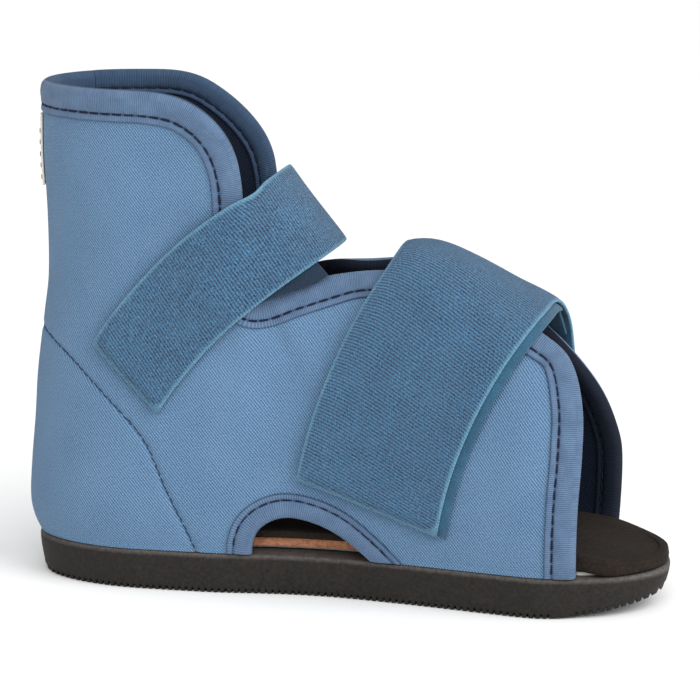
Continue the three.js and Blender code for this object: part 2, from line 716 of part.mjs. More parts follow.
const ANKLE = {
  frame: strapFrame(ANKLE_STRAP_TILT, { near: 0, far: 0 }, ANKLE_STRAP_CROSSING * SOLE_LENGTH),
  arched: true,
  width: ANKLE_STRAP_WIDTH,
  thickness: STRAP_THICKNESS,
  nearReach: ANKLE_STRAP_NEAR_REACH,
  farReach: ANKLE_STRAP_FAR_REACH,
  shift: 0,
  bow: ANKLE_STRAP_BOW,
  from: -1,
  to: 1,
  lift: strapLift,
};

const FOREFOOT_LEANS = { near: FOREFOOT_STRAP_LEAN, far: FOREFOOT_STRAP_FAR_LEAN };

const FOREFOOT = {
  ...ANKLE,
  frame: strapFrame(FOREFOOT_STRAP_TILT, FOREFOOT_LEANS, FOREFOOT_STRAP_CROSSING * SOLE_LENGTH),
  arched: false,
  width: FOREFOOT_STRAP_WIDTH,
  bow: FOREFOOT_STRAP_BOW,
  nearReach: FOREFOOT_STRAP_NEAR_REACH,
  farReach: FOREFOOT_STRAP_FAR_REACH,
};

// The tab stands out in front of the strap by one of its strips, so that the facets of both agree.
const ankleTab = () =>
  strapSlab({
    ...ANKLE,
    thickness: TAB_THICKNESS,
    shift: ANKLE_STRAP_WIDTH / STRAP_STRIPS,
    from: ANKLE_TAB_FROM,
    to: ANKLE_TAB_TO,
    lift: steady(STACKED_LIFT - GAP - TAB_THICKNESS),
  });

const forefootBacking = () =>
  strapSlab({
    ...FOREFOOT,
    thickness: BACKING_THICKNESS,
    shift: FOREFOOT_BACKING_SHIFT,
    to: FOREFOOT_BACKING_TO,
    lift: steady(REST_LIFT),
  });

function backLabel() {
  const top = SOLE_THICKNESS + UPPER_HEIGHT - LABEL_DROP;
  const grid = (offset) => {
    const rows = [];
    for (let i = 0; i <= LABEL_CELLS; i += 1) {
      const z = top - (LABEL_HEIGHT * i) / LABEL_CELLS;
      const row = [];
      for (let j = -LABEL_CELLS; j <= LABEL_CELLS; j += 1) {
        const arc = (LABEL_WIDTH * j) / (2 * LABEL_CELLS);
        row.push(offsetPoint(facePoint, arc, z, offset));
      }
      rows.push(row);
    }
    return rows;
  };
  return slab(grid(GAP + LABEL_THICKNESS), grid(GAP));
}

const boot = new THREE.Group();
boot.add(
  meshOf("outsole", outsole(), "rubber"),
  meshOf("insole_board", insoleBoard(), "board"),
  meshOf("footbed_core", footbedCore(), "cork"),
  meshOf("footbed_cover", footbedCover(), "suede"),
  meshOf("quarter_medial", quarter(MEDIAL), "neoprene"),
  meshOf("quarter_lateral", quarter(LATERAL), "neoprene"),
  meshOf("heel_counter", heelCounter(), "neoprene"),
  meshOf("binding_medial", bindingMedial(), "binding"),
  meshOf("binding_lateral", bindingLateral(), "binding"),
  meshOf("window_binding", windowBinding(), "binding"),
  meshOf("ankle_strap", strapSlab(ANKLE), "strap"),
  meshOf("ankle_strap_tab", ankleTab(), "backing"),
  meshOf("forefoot_strap", strapSlab(FOREFOOT), "strap"),
  meshOf("forefoot_strap_backing", forefootBacking(), "backing"),
  meshOf("back_label", backLabel(), "label"),
);

// The origin is the middle of the underside of the whole boot.
const size = new THREE.Box3().setFromObject(boot, true);
boot.position.set(-(size.min.x + size.max.x) / 2, -(size.min.y + size.max.y) / 2, -size.min.z);

export default boot;
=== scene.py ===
import math

import bpy
import numpy as np
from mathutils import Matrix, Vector
from mathutils.geometry import delaunay_2d_cdt


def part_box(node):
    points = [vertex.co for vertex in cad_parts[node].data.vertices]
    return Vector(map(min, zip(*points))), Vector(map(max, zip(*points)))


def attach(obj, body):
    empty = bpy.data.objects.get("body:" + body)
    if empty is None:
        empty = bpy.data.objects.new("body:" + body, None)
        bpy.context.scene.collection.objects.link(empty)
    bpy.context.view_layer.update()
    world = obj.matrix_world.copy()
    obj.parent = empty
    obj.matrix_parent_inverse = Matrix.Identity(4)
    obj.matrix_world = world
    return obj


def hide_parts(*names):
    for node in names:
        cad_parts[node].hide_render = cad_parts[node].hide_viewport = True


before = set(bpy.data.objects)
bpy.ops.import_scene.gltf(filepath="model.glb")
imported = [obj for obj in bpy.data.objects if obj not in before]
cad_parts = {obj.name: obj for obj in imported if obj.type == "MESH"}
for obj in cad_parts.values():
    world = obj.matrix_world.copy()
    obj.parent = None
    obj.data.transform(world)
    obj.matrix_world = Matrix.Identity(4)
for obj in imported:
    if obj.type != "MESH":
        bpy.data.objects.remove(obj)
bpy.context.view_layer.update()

rng = np.random.default_rng(7)

# Sizes in millimetres, the same as the solids'. X runs from the sole's back to the toe.
SOLE_LENGTH = 280.0
SOLE_WIDTH = 90.0
SOLE_THICKNESS = 18.0
HEEL_ROUND = 52.0
TOE_ROUND = 46.0
TOE_SPRING = 8.5
TOE_SPRING_LENGTH = 58.0
TOE_TOP_RISE = 1.5
TOE_TOP_RISE_LENGTH = 28.0
FOOTBED_TOE_LENGTH = 44.0
FREE_PLAY = 2.0
BOARD, CORE, COVER = 1.5, 5.0, 2.2
UPPER_HEIGHT = 198.0
WALL = 4.0
ROUNDNESS = 2.6
HEEL_FADE = 120.0
GAP = 0.3
QUARTER = HEEL_ROUND * math.pi / 2
FLOOR = SOLE_THICKNESS + GAP
TOP = SOLE_THICKNESS + UPPER_HEIGHT
MEDIAL, LATERAL = -1, 1

# Sizes of the looks alone
TREAD_PITCH, TREAD_GROOVE, TREAD_DEPTH = 2.9, 1.4, 1.6
TREAD_GAP_AT = 238.0
PANEL_SPACING = 2.6
BINDING_WIDTH = 11.3
STITCH_LINE = 8.0
INNER_PLACE = 14.0
INNER_NARROWING = 0.72
FOLD_PLAY = 1.35
# Height over which a binding's inner side takes the less dark of its two painted shades
COLLAR_LOW = 150.0
BACK_SEAM_LOW = 110.0
REST = 2.0

# Plan of the upper: along, medial half width, lateral half width, drift, closing
PLAN = np.array([
    (0.0, 0.355, 0.355, 0.0, 0.0), (0.29, 0.355, 0.36, 0.0, 0.0), (0.345, 0.34, 0.365, 0.0, 0.35),
    (0.38, 0.326, 0.37, 0.0, 1.2), (0.43, 0.313, 0.382, 0.0, 1.4), (0.475, 0.313, 0.4, 0.0, 1.53),
    (0.51, 0.32, 0.42, 0.0, 1.575), (0.56, 0.34, 0.457, 0.0, 1.555), (0.62, 0.365, 0.5, -0.002, 1.535),
    (0.68, 0.39, 0.535, -0.01, 1.605), (0.74, 0.412, 0.55, -0.022, 1.72), (0.81, 0.42, 0.555, -0.045, 1.885),
    (0.88, 0.37, 0.53, -0.07, 2.2), (1.0, 0.34, 0.5, -0.09, 2.9),
])
HALF_MEDIAL, HALF_LATERAL, DRIFT, CLOSING = 1, 2, 3, 4
# Its change with height: up, back line, gain in width
HEIGHTS = np.array([
    (0.0, 0.002, 0.98), (0.03, -0.008, 1.02), (0.07, -0.014, 1.05), (0.16, -0.011, 1.06),
    (0.26, -0.005, 1.05), (0.36, 0.0, 1.03), (0.5, 0.014, 1.03), (0.58, 0.021, 1.04), (0.72, 0.021, 1.08),
    (0.85, 0.018, 1.11), (1.0, 0.02, 1.14),
])
BACK_LINE, WIDTH_GAIN = 1, 2
# Edges seen from the side: along, up
MEDIAL_EDGE = [
    (-0.06, 1.0), (0.12, 1.0), (0.23, 0.996), (0.287, 0.97), (0.329, 0.912), (0.349, 0.83), (0.353, 0.71),
    (0.351, 0.615), (0.36, 0.568), (0.38, 0.556), (0.43, 0.582), (0.5, 0.608), (0.584, 0.619), (0.66, 0.607),
    (0.74, 0.56), (0.804, 0.508), (0.848, 0.456), (0.868, 0.37), (0.871, 0.27), (0.867, 0.15), (0.865, 0.0),
]
LATERAL_EDGE = [
    (-0.06, 1.0), (0.12, 1.0), (0.213, 0.994), (0.27, 0.955), (0.318, 0.892), (0.345, 0.82), (0.355, 0.71),
    (0.354, 0.61), (0.358, 0.56), (0.38, 0.55), (0.43, 0.592), (0.49, 0.612), (0.55, 0.619), (0.62, 0.624),
    (0.7, 0.575), (0.77, 0.49), (0.83, 0.405), (0.868, 0.33), (0.891, 0.24), (0.897, 0.17), (0.892, 0.0),
]
HEEL_SEAM = [
    (-0.06, 0.488), (0.01, 0.468), (0.07, 0.425), (0.14, 0.34), (0.2, 0.25), (0.235, 0.14), (0.272, 0.03),
    (0.285, -0.04),
]
WINDOW_EDGE = [
    (0.363, -0.09), (0.363, -0.03), (0.364, 0.022), (0.378, 0.066), (0.413, 0.092), (0.456, 0.087),
    (0.503, 0.06), (0.548, 0.012), (0.58, -0.035), (0.615, -0.09),
]
# Soft folds and swells of the padded panels: side, place along, place up, reach along the fold,
# reach across it, direction in degrees from level, height
FOLDS = [
    (-1, 0.4, 0.5, 26, 5, -62, -1.3), (-1, 0.44, 0.45, 30, 6, -58, 0.9), (-1, 0.335, 0.55, 22, 7, -40, 0.9),
    (-1, 0.3, 0.47, 34, 9, -38, -0.9), (-1, 0.12, 0.6, 30, 16, 15, -0.7), (-1, 0.6, 0.2, 46, 16, 8, 0.8),
    (-1, 0.5, 0.3, 30, 10, 70, 0.7), (-1, 0.78, 0.25, 30, 12, 80, 0.6), (-1, 0.18, 0.86, 30, 12, -5, -0.6),
    (1, 0.4, 0.48, 26, 6, -60, -1.2), (1, 0.45, 0.4, 34, 8, -55, 0.9), (1, 0.3, 0.5, 30, 9, -35, 0.8),
    (1, 0.14, 0.62, 30, 14, 12, -0.8), (1, 0.62, 0.22, 46, 16, 5, 0.8), (1, 0.22, 0.8, 34, 12, 5, 0.7),
]

# Where the millimetres' origin, at the back of the sole, lies in the frame
ORIGIN = np.array([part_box("outsole")[0].x * 1000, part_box("quarter_medial")[1].y * 1000 + GAP / 2, 0.0])


# Curves and blends


def curve(rows, column, at):
    """A column's values at places along a table, on a smooth curve through its rows."""
    keys, values = rows[:, 0], rows[:, column]
    place = np.clip(np.asarray(at, float), keys[0], keys[-1])
    i = np.clip(np.searchsorted(keys, place, side="left") - 1, 0, len(keys) - 2)
    before = np.maximum(np.arange(len(keys)) - 1, 0)
    after = np.minimum(np.arange(len(keys)) + 1, len(keys) - 1)
    slope = (values[after] - values[before]) / (keys[after] - keys[before])
    run = keys[i + 1] - keys[i]
    t = (place - keys[i]) / run
    rise = values[i + 1] - values[i]
    lean = run * slope[i] - rise
    settle = rise - run * slope[i + 1]
    return values[i] + t * rise + t * (1 - t) * ((1 - t) * lean + t * settle)


def smoothstep(x, a, b):
    t = np.clip((np.asarray(x, float) - a) / (b - a), 0, 1)
    return t * t * (3 - 2 * t)


def plateau(x, a, b, c, d):
    """Rises from 0 to 1 between a and b, and falls again between c and d."""
    return smoothstep(x, a, b) * (1 - smoothstep(x, c, d))


def lerp(a, b, t):
    return a + (b - a) * t


def unit(v):
    return v / np.maximum(np.linalg.norm(v, axis=-1, keepdims=True), 1e-9)


def dot(a, b):
    return (a * b).sum(-1)


def spread(*parts):
    """Coordinates broadcast together, as the last axis."""
    return np.stack(np.broadcast_arrays(*parts), -1)


def sideways(line):
    """Unit normals to the left of a line in the plane."""
    tangent = unit(np.gradient(line, axis=0))
    return spread(-tangent[:, 1], tangent[:, 0])


def lengths(line):
    """Distance of each point of a line from its start."""
    return np.concatenate([[0], np.cumsum(np.linalg.norm(np.diff(line, axis=0), axis=1))])


def interpolated(at, along, rows):
    return np.stack([np.interp(at, along, rows[:, k]) for k in range(rows.shape[1])], -1)


def resample(line, spacing):
    along = lengths(line)
    count = max(2, int(round(along[-1] / spacing)) + 1)
    return interpolated(np.linspace(0, along[-1], count), along, line)


def soften(line, passes):
    line = line.copy()
    for _ in range(passes):
        line[1:-1] = (line[:-2] + 2 * line[1:-1] + line[2:]) / 4
    return line


def spline(rows, spacing):
    """Even points of a smooth side-view line through rows of (along, up), as x and z."""
    p = np.array([(along * SOLE_LENGTH, SOLE_THICKNESS + up * UPPER_HEIGHT) for along, up in rows])
    q = np.vstack([2 * p[0] - p[1], p, 2 * p[-1] - p[-2]])
    t = np.linspace(0, 1, 40, endpoint=False)[:, None]
    parts = []
    for a, b, c, d in zip(q, q[1:], q[2:], q[3:]):
        bend = 2 * a - 5 * b + 4 * c - d
        twist = 3 * b - a - 3 * c + d
        parts.append(0.5 * (2 * b + (c - a) * t + bend * t**2 + twist * t**3))
    return resample(np.vstack(parts + [p[-1:]]), spacing)


# Form of the upper


def plan(column, x):
    return curve(PLAN, column, np.asarray(x) / SOLE_LENGTH)


def half_width(side, x):
    return SOLE_WIDTH * np.where(np.asarray(side) < 0, plan(HALF_MEDIAL, x), plan(HALF_LATERAL, x))


def middle(x):
    return SOLE_WIDTH * plan(DRIFT, x)


def round_end(distance, radius):
    """Share of the full width left at a distance from a rounded end."""
    left = 1 - np.clip(np.asarray(distance) / radius, 0, 1)
    return np.sqrt(np.maximum(1 - left * left, 0))


def up_share(z):
    return (np.asarray(z) - SOLE_THICKNESS) / UPPER_HEIGHT


def shift_at(run, z):
    """How far the back line moves the form forward, which fades along the boot."""
    return SOLE_LENGTH * curve(HEIGHTS, BACK_LINE, up_share(z)) * np.maximum(0, 1 - run / HEEL_FADE)


def face_y(side, x, z, rounding):
    closed = np.clip(np.maximum(0, up_share(z)) * np.maximum(0, plan(CLOSING, x)), 0, 1)
    narrow = (1 - closed**ROUNDNESS) ** (1 / ROUNDNESS)
    gain = curve(HEIGHTS, WIDTH_GAIN, up_share(z))
    return middle(x) + side * half_width(side, x) * gain * rounding * narrow


def run_at(x, z):
    """Distance along the sole before the back line's shift."""
    run = np.asarray(x, float)
    for _ in range(6):
        run = x - shift_at(run, z)
    return run


def face_seen_at(side, x, z):
    return face_y(side, x, z, round_end(run_at(x, z), HEEL_ROUND))


def arc_at(side, x, z):
    run = run_at(x, z)
    turn = np.arccos(np.clip(1 - run / HEEL_ROUND, 0, 1))
    return side * np.where(run < HEEL_ROUND, turn * HEEL_ROUND, QUARTER + run - HEEL_ROUND)


def form(arc, z):
    """Points of the outer face. Arc is the way round the heel from the back and on along the sole, negative
    on the medial side, and z is the height."""
    arc, z = np.broadcast_arrays(np.asarray(arc, float), np.asarray(z, float))
    side = np.where(arc < 0, MEDIAL, LATERAL)
    turn = np.minimum(np.abs(arc), QUARTER) / HEEL_ROUND
    run = HEEL_ROUND * (1 - np.cos(turn)) + np.maximum(0, np.abs(arc) - QUARTER)
    x = run + shift_at(run, z)
    return spread(x, face_y(side, x, z, np.sin(turn)), z)


def slopes(arc, z, reach):
    """How far the form moves over twice the reach in arc, and in z."""
    return form(arc + reach, z) - form(arc - reach, z), form(arc, z + reach) - form(arc, z - reach)


def outward(arc, z):
    by_arc, by_z = slopes(arc, z, 0.5)
    return unit(np.cross(by_z, by_arc))


def relief(arc, z):
    """Height of the folds and swells, over a faint waviness of the whole cloth."""
    arc, z = np.broadcast_arrays(np.asarray(arc, float), np.asarray(z, float))
    total = 0.25 * np.sin(arc / 17 + z / 29) * np.sin(z / 21 - arc / 37)
    for side, along, up, long, wide, angle, height in FOLDS:
        fold_z = SOLE_THICKNESS + up * UPPER_HEIGHT
        fold_arc = float(arc_at(side, along * SOLE_LENGTH, fold_z))
        level, steep = math.cos(math.radians(angle)), math.sin(math.radians(angle))
        away, above = (arc - fold_arc) * side, z - fold_z
        lengthwise = away * level + above * steep
        crosswise = above * level - away * steep
        total = total + height * np.exp(-((lengthwise / long) ** 2) - (crosswise / wide) ** 2)
    return total


def on_form(arc, z, offset):
    return form(arc, z) + outward(arc, z) * (np.asarray(offset) + relief(arc, z))[..., None]


def over(line, offset):
    """Points over a line in (arc, z), at an offset from the form."""
    return on_form(line[:, 0], line[:, 1], offset + 0 * line[:, 0])


def normals_at(line):
    return outward(line[:, 0], line[:, 1])


def mapped(side, line):
    """A side-view line as (arc, z), cut where it passes the back of the boot."""
    arc = arc_at(side, line[:, 0], line[:, 1])
    first = np.argmax(run_at(line[:, 0], line[:, 1]) > 0.3)
    return np.vstack([[0.0, line[max(first - 1, 0), 1]], spread(arc, line[:, 1])[first:]])


# Mesh building


class Build:
    """Gathers vertices, faces, material numbers and weave coordinates for one object."""

    def __init__(self):
        self.verts, self.faces, self.kinds, self.weave = [], [], [], []
        self.count = 0

    def add(self, points, faces, kind, weave=None):
        """Adds faces, all of one kind or each with its own."""
        points = np.asarray(points, float).reshape(-1, 3)
        weave = points if weave is None else np.asarray(weave, float)
        weave = weave.reshape(-1, weave.shape[-1])
        if weave.shape[1] == 2:
            weave = np.column_stack([weave, np.zeros(len(weave))])
        self.verts.append(points)
        self.weave.append(weave)
        self.faces.extend([tuple(int(i) + self.count for i in face) for face in faces])
        self.kinds.extend(np.broadcast_to(np.ravel(kind), len(faces)).tolist())
        self.count += len(points)

    def grid(self, points, kind, weave=None, wrap_columns=False, flip=False):
        points = np.asarray(points)
        rows, columns = points.shape[:2]
        last = columns if wrap_columns else columns - 1
        i, j = np.meshgrid(np.arange(rows - 1), np.arange(last), indexing="ij")
        here, beside = i * columns + j, i * columns + (j + 1) % columns
        quads = np.stack([here, here + columns, beside + columns, beside], -1).reshape(-1, 4)
        self.add(points, quads[:, ::-1] if flip else quads, kind, weave)

    def tube(self, points, kind, weave, flip=False):
        """A grid wrapped round its columns, with a face over each end."""
        self.grid(points, kind, weave, wrap_columns=True, flip=flip)
        rows, columns = points.shape[:2]
        start = self.count - rows * columns
        for end in (range(start, start + columns), range(self.count - 1, self.count - columns - 1, -1)):
            self.faces.append(tuple(reversed(end)) if flip else tuple(end))
            self.kinds.append(int(np.ravel(kind)[0]))

    def made(self, name, materials, node):
        """The finished object, in metres in the frame, with flat ends on its tubes."""
        mesh = bpy.data.meshes.new(name)
        mesh.from_pydata(((np.vstack(self.verts) + ORIGIN) / 1000).tolist(), [], self.faces)
        mesh.polygons.foreach_set("material_index", self.kinds)
        mesh.polygons.foreach_set("use_smooth", [len(face) <= 4 for face in self.faces])
        layer = mesh.attributes.new("weave", "FLOAT_VECTOR", "POINT")
        layer.data.foreach_set("vector", np.vstack(self.weave).astype(np.float32).ravel())
        for material in materials:
            mesh.materials.append(material)
        mesh.update()
        obj = bpy.data.objects.new(name, mesh)
        bpy.context.scene.collection.objects.link(obj)
        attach(obj, "root")
        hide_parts(node)
        return obj


def stitches(build, kind, points, normals, pitch, length, radius):
    """Raised thread stitches that follow a line on a surface, each end dipping into the cloth."""
    along = lengths(points)
    t = np.linspace(-1, 1, 9)
    turn = np.linspace(0, 2 * np.pi, 8, endpoint=False)
    wide = radius * np.sqrt(np.maximum(1 - t**8, 0.02))[:, None, None]
    lift = radius * 0.6 * (1 - 2.2 * t**8)[:, None]
    for k in range(int(along[-1] // pitch)):
        at = (k + 0.5) * pitch + rng.uniform(-0.25, 0.25) + t * length / 2
        followed = interpolated(at, along, points)
        if followed[:, 2].min() < SOLE_THICKNESS + 1:
            continue
        normal = unit(interpolated(at, along, normals))
        across = unit(np.cross(normal, unit(np.gradient(followed, axis=0))))
        skew = (rng.uniform(-0.12, 0.12) * t)[:, None]
        centre_line = followed + normal * lift + across * skew
        round_it = across[:, None] * np.cos(turn)[:, None] + normal[:, None] * np.sin(turn)[:, None] * 0.8
        weave = spread(at[:, None], turn[None] * radius)
        build.tube(centre_line[:, None] + round_it * wide, kind, weave, flip=True)


def triangulated(loop, inner_points):
    """Triangles of the region in the plane inside a loop, with the points in it as corners."""
    corners = [Vector(p) for p in np.vstack([loop, inner_points])]
    n = len(loop)
    edges = [(i, (i + 1) % n) for i in range(n)]
    out = delaunay_2d_cdt(corners, edges, [list(range(n))], 1, 1e-4)
    return np.array([tuple(v) for v in out[0]]), [tuple(f) for f in out[2]]


def inside(loop, points):
    x, y = points[:, 0], points[:, 1]
    hit = np.zeros(len(points), bool)
    x1, y1 = loop[-1]
    for x2, y2 in loop:
        crosses = (y1 > y) != (y2 > y)
        with np.errstate(divide="ignore", invalid="ignore"):
            at = (x2 - x1) * (y - y1) / (y2 - y1) + x1
        hit ^= crosses & (x < at)
        x1, y1 = x2, y2
    return hit


def distance_to(line, points):
    """Distance of each point to the nearest point of a line, in batches to hold down memory."""
    batch = 2000
    result = np.empty(len(points))
    for start in range(0, len(points), batch):
        part = points[start : start + batch]
        result[start : start + batch] = np.sqrt(((part[:, None] - line[None]) ** 2).sum(-1)).min(1)
    return result


def far_from(loop, points, distance):
    return points[distance_to(resample(np.vstack([loop, loop[:1]]), 1.5), points) > distance]


def panel(build, loop, seams):
    """A padded panel over a region in (arc, z), pulled in along seams, each a line and a depth.

    Kind 0 is its outer face, 1 its lining and 2 its edge."""
    (low_arc, low_z), (high_arc, high_z) = loop.min(0), loop.max(0)
    heights = np.arange(low_z, high_z, PANEL_SPACING)
    arcs, zs = np.meshgrid(np.arange(low_arc, high_arc, PANEL_SPACING), heights)
    arcs = arcs + (np.arange(len(heights)) % 2)[:, None] * PANEL_SPACING / 2
    points = spread(arcs.ravel(), zs.ravel())
    points = points[inside(loop, points)]
    beside = []
    for seam, _ in seams:
        for distance in (0.7, 1.5, 2.4):
            beside += [seam + sideways(seam) * distance, seam - sideways(seam) * distance]
        points = points[distance_to(seam, points) > 3.2]
    beside = np.vstack(beside)
    beside = far_from(loop, beside[inside(loop, beside)], 0.45)
    flat, faces = triangulated(loop, far_from(loop, np.vstack([points, beside]), 0.4))
    dip = np.zeros(len(flat))
    for seam, depth in seams:
        dip = dip - depth * np.exp(-((distance_to(seam, flat) / 1.3) ** 2))
    # The triangles run anticlockwise in (arc, z), which faces inwards on the form.
    n = len(flat)
    outer = [face[::-1] for face in faces]
    lining = [tuple(i + n for i in face) for face in faces]
    used = dict.fromkeys((face[i], face[(i + 1) % 3]) for face in faces for i in range(3))
    edge = [(a, a + n, b + n, b) for a, b in used if (b, a) not in used]
    kinds = [0] * len(outer) + [1] * len(lining) + [2] * len(edge)
    shape = np.vstack([over(flat, dip), over(flat, -WALL)])
    build.add(shape, outer + lining + edge, kinds, np.vstack([flat, flat]))


# Lines of the upper in (arc, z)

SEAM = {side: mapped(side, spline(HEEL_SEAM, 2.0)) for side in (MEDIAL, LATERAL)}
EDGES_SEEN = {MEDIAL: MEDIAL_EDGE, LATERAL: LATERAL_EDGE}
EDGE = {side: mapped(side, spline(rows, 2.0)) for side, rows in EDGES_SEEN.items()}
WINDOW = mapped(MEDIAL, spline(WINDOW_EDGE, 1.2))
JOINT_ARC = float(arc_at(LATERAL, 18.0, TOP))


def above_floor(line):
    return line[line[:, 1] > FLOOR + 0.4]


def down_to_floor(line):
    keep = line[line[:, 1] > FLOOR + 0.6]
    return np.vstack([keep, [keep[-1, 0], FLOOR + 0.2]])


def floor_line(from_arc, to_arc):
    count = max(2, int(abs(to_arc - from_arc) / 2.2))
    return np.linspace((from_arc, FLOOR), (to_arc, FLOOR), count)


def crossing(line):
    """Arc where a line comes down to the sole."""
    k = np.argmax(line[:, 1] < FLOOR + 0.4)
    return line[k, 0] if line[k, 1] < FLOOR + 0.4 else line[-1, 0]


def back_line(low, high):
    z = np.arange(low, high, 2.0)
    return spread(0 * z, z)


def quarter_loop(side):
    """Outline of a side panel: its edge, the sole with any window, the heel seam and the back."""
    seam = above_floor(SEAM[side])[::-1]
    end, start = EDGE[side][-1, 0], crossing(SEAM[side])
    low = floor_line(end, start)
    if side == MEDIAL:
        window = above_floor(WINDOW)
        low = np.vstack([floor_line(end, window[-1, 0]), window[::-1], floor_line(window[0, 0], start)])
    return np.vstack([above_floor(EDGE[side]), low, seam, back_line(seam[-1, 1] + 2, TOP - 1)])


def counter_loop():
    """Outline of the heel counter: the heel seam round the back, and the sole."""
    near, far = above_floor(SEAM[MEDIAL]), above_floor(SEAM[LATERAL])
    low = floor_line(crossing(SEAM[MEDIAL]), crossing(SEAM[LATERAL]))
    return np.vstack([near[::-1], far[1:], low[::-1]])


def clean_loop(loop):
    """The loop without near repeats, run anticlockwise."""
    nearest = 0.25
    keep = [0]
    for i in range(1, len(loop)):
        if np.linalg.norm(loop[i] - loop[keep[-1]]) > nearest:
            keep.append(i)
    loop = loop[keep]
    if np.linalg.norm(loop[0] - loop[-1]) < nearest:
        loop = loop[:-1]
    x, y = loop[:, 0], loop[:, 1]
    area = np.sum(x * np.roll(y, -1) - np.roll(x, -1) * y)
    return loop[::-1] if area < 0 else loop


# Materials, patterned by each mesh's weave coordinates in millimetres


def colour(*rgb):
    """A shader's colour from one as seen on screen, 0 to 255."""
    return tuple(c / 255 / 12.92 if c <= 10 else ((c / 255 + 0.055) / 1.055) ** 2.4 for c in rgb) + (1.0,)


class Looks:
    """A material with the nodes that pattern it. Values are numbers, colours or outputs of nodes."""

    def __init__(self, name, roughness, specular, sheen=0.0):
        self.material = bpy.data.materials.new(name)
        self.material.use_nodes = True
        self.tree = self.material.node_tree
        self.inputs = self.tree.nodes["Principled BSDF"].inputs
        self.inputs["Roughness"].default_value = roughness
        self.inputs["Specular IOR Level"].default_value = specular
        self.inputs["Sheen Weight"].default_value = sheen
        self.inputs["Sheen Roughness"].default_value = 0.5
        self.weave = self.node("Attribute", {}, attribute_name="weave").outputs["Vector"]
        self.along, self.across, self.third = self.node("SeparateXYZ", {0: self.weave}).outputs

    def feed(self, socket, value):
        if isinstance(value, (int, float, tuple)):
            socket.default_value = value
        else:
            self.tree.links.new(value, socket)

    def node(self, kind, values, **settings):
        node = self.tree.nodes.new("ShaderNode" + kind)
        for key, value in settings.items():
            setattr(node, key, value)
        for key, value in values.items():
            self.feed(node.inputs[key], value)
        return node

    def math(self, operation, *values):
        return self.node("Math", dict(enumerate(values)), operation=operation).outputs[0]

    def noise(self, scale, detail=3.0, rough=0.5):
        values = {"Vector": self.weave, "Scale": scale, "Detail": detail, "Roughness": rough}
        return self.node("TexNoise", values).outputs["Fac"]

    def mix(self, factor, dark, light):
        return self.node("Mix", {0: factor, 6: dark, 7: light}, data_type="RGBA").outputs[2]

    def range(self, value, low, high, to_low=0.0, to_high=1.0):
        return self.node("MapRange", dict(enumerate((value, low, high, to_low, to_high)))).outputs[0]

    def sum(self, *terms):
        """Sum of value times weight for each pair."""
        total = None
        for value, weight in terms:
            part = self.math("MULTIPLY", value, weight)
            total = part if total is None else self.math("ADD", total, part)
        return total

    def ribs(self, pitch, *terms):
        """A wave from 0 to 1 along a weighted sum of coordinates."""
        turned = self.math("MULTIPLY", self.sum(*terms), 2 * math.pi / pitch)
        return self.math("ADD", self.math("MULTIPLY", self.math("SINE", turned), 0.5), 0.5)

    def done(self, tone, height, depth):
        """The material in a tone, with bumps from a height."""
        self.feed(self.inputs["Base Color"], tone)
        bump = self.node("Bump", {"Strength": 1.0, "Distance": depth, "Height": height})
        self.feed(self.inputs["Normal"], bump.outputs[0])
        return self.material


def knit(name, dark, light, pitch, sheen=0.0):
    """Knit-faced foam laminate: a fine slanted twill of loops with soft patches."""
    cloth = Looks(name, 0.85, 0.25, sheen)
    diagonal = cloth.ribs(pitch, (cloth.along, 1.0), (cloth.across, -0.8))
    other = cloth.ribs(pitch * 0.85, (cloth.along, 1.0), (cloth.across, 0.75))
    speck = cloth.range(cloth.noise(1.4, 2.0, 0.6), 0.34, 0.66)
    woven = cloth.math("MULTIPLY", diagonal, cloth.sum((other, 0.6), (1.0, 0.4)))
    shade = cloth.range(cloth.sum((woven, 0.85), (speck, 0.3), (cloth.noise(0.035), 0.25)), 0.12, 0.95)
    return cloth.done(cloth.mix(shade, dark, light), cloth.sum((woven, 1.0), (speck, 0.15)), 0.0003)


def ribbed(name, dark, light, pitch, depth, ribs_across=False, fuzz=0.0, sheen=0.0, grooves=()):
    """Woven tape: ribs along one weave axis, loose fibres, and painted shade along the grooves where seams
    draw it in.
    """
    cloth = Looks(name, 0.8, 0.25, sheen)
    rib = cloth.ribs(pitch, (cloth.across if ribs_across else cloth.along, 1.0))
    fine = cloth.noise(2.2, 3.0, 0.6)
    cloudy = cloth.noise(0.12, 4.0, 0.6)
    shade = cloth.sum((rib, 0.26 * (1 - fuzz)), (fine, 0.4 + 0.3 * fuzz), (cloudy, 0.4))
    tone = cloth.mix(cloth.math("SUBTRACT", shade, 0.16), dark, light)
    # Painted shade: the tone darkens towards the dark colour near each of these lines
    for place, reach in grooves:
        away = cloth.math("ABSOLUTE", cloth.math("SUBTRACT", cloth.across, place))
        tone = cloth.mix(cloth.range(away, 0.1, reach, 0.75, 0.0), tone, dark)
    return cloth.done(tone, cloth.sum((rib, 1 - fuzz), (fine, 0.5 + fuzz)), depth)


def hooked(name, dark, light, pale, pitch, depth):
    """Hook-and-loop webbing: slanted ribs of dense loops, with paler frayed edges."""
    cloth = Looks(name, 0.85, 0.3, sheen=0.12)
    rib = cloth.ribs(pitch, (cloth.along, 1.0), (cloth.across, 0.16))
    rows = cloth.ribs(pitch * 0.8, (cloth.across, 1.0), (cloth.along, 0.45))
    speck = cloth.range(cloth.noise(1.15, 3.0, 0.75), 0.33, 0.67)
    loops = cloth.math("MULTIPLY", rib, cloth.sum((rows, 0.35), (1.0, 0.65)))
    shade = cloth.range(cloth.sum((loops, 0.5), (speck, 0.62), (cloth.noise(0.06, 2.0), 0.2)), 0.2, 1.0)
    inset = cloth.sum((cloth.third, 1.0), (cloth.noise(0.7, 3.0, 0.7), -1.6))
    tone = cloth.mix(cloth.range(inset, -0.3, 1.0, 0.75, 0.0), cloth.mix(shade, dark, light), pale)
    return cloth.done(tone, cloth.sum((loops, 1.0), (speck, 1.1)), depth)


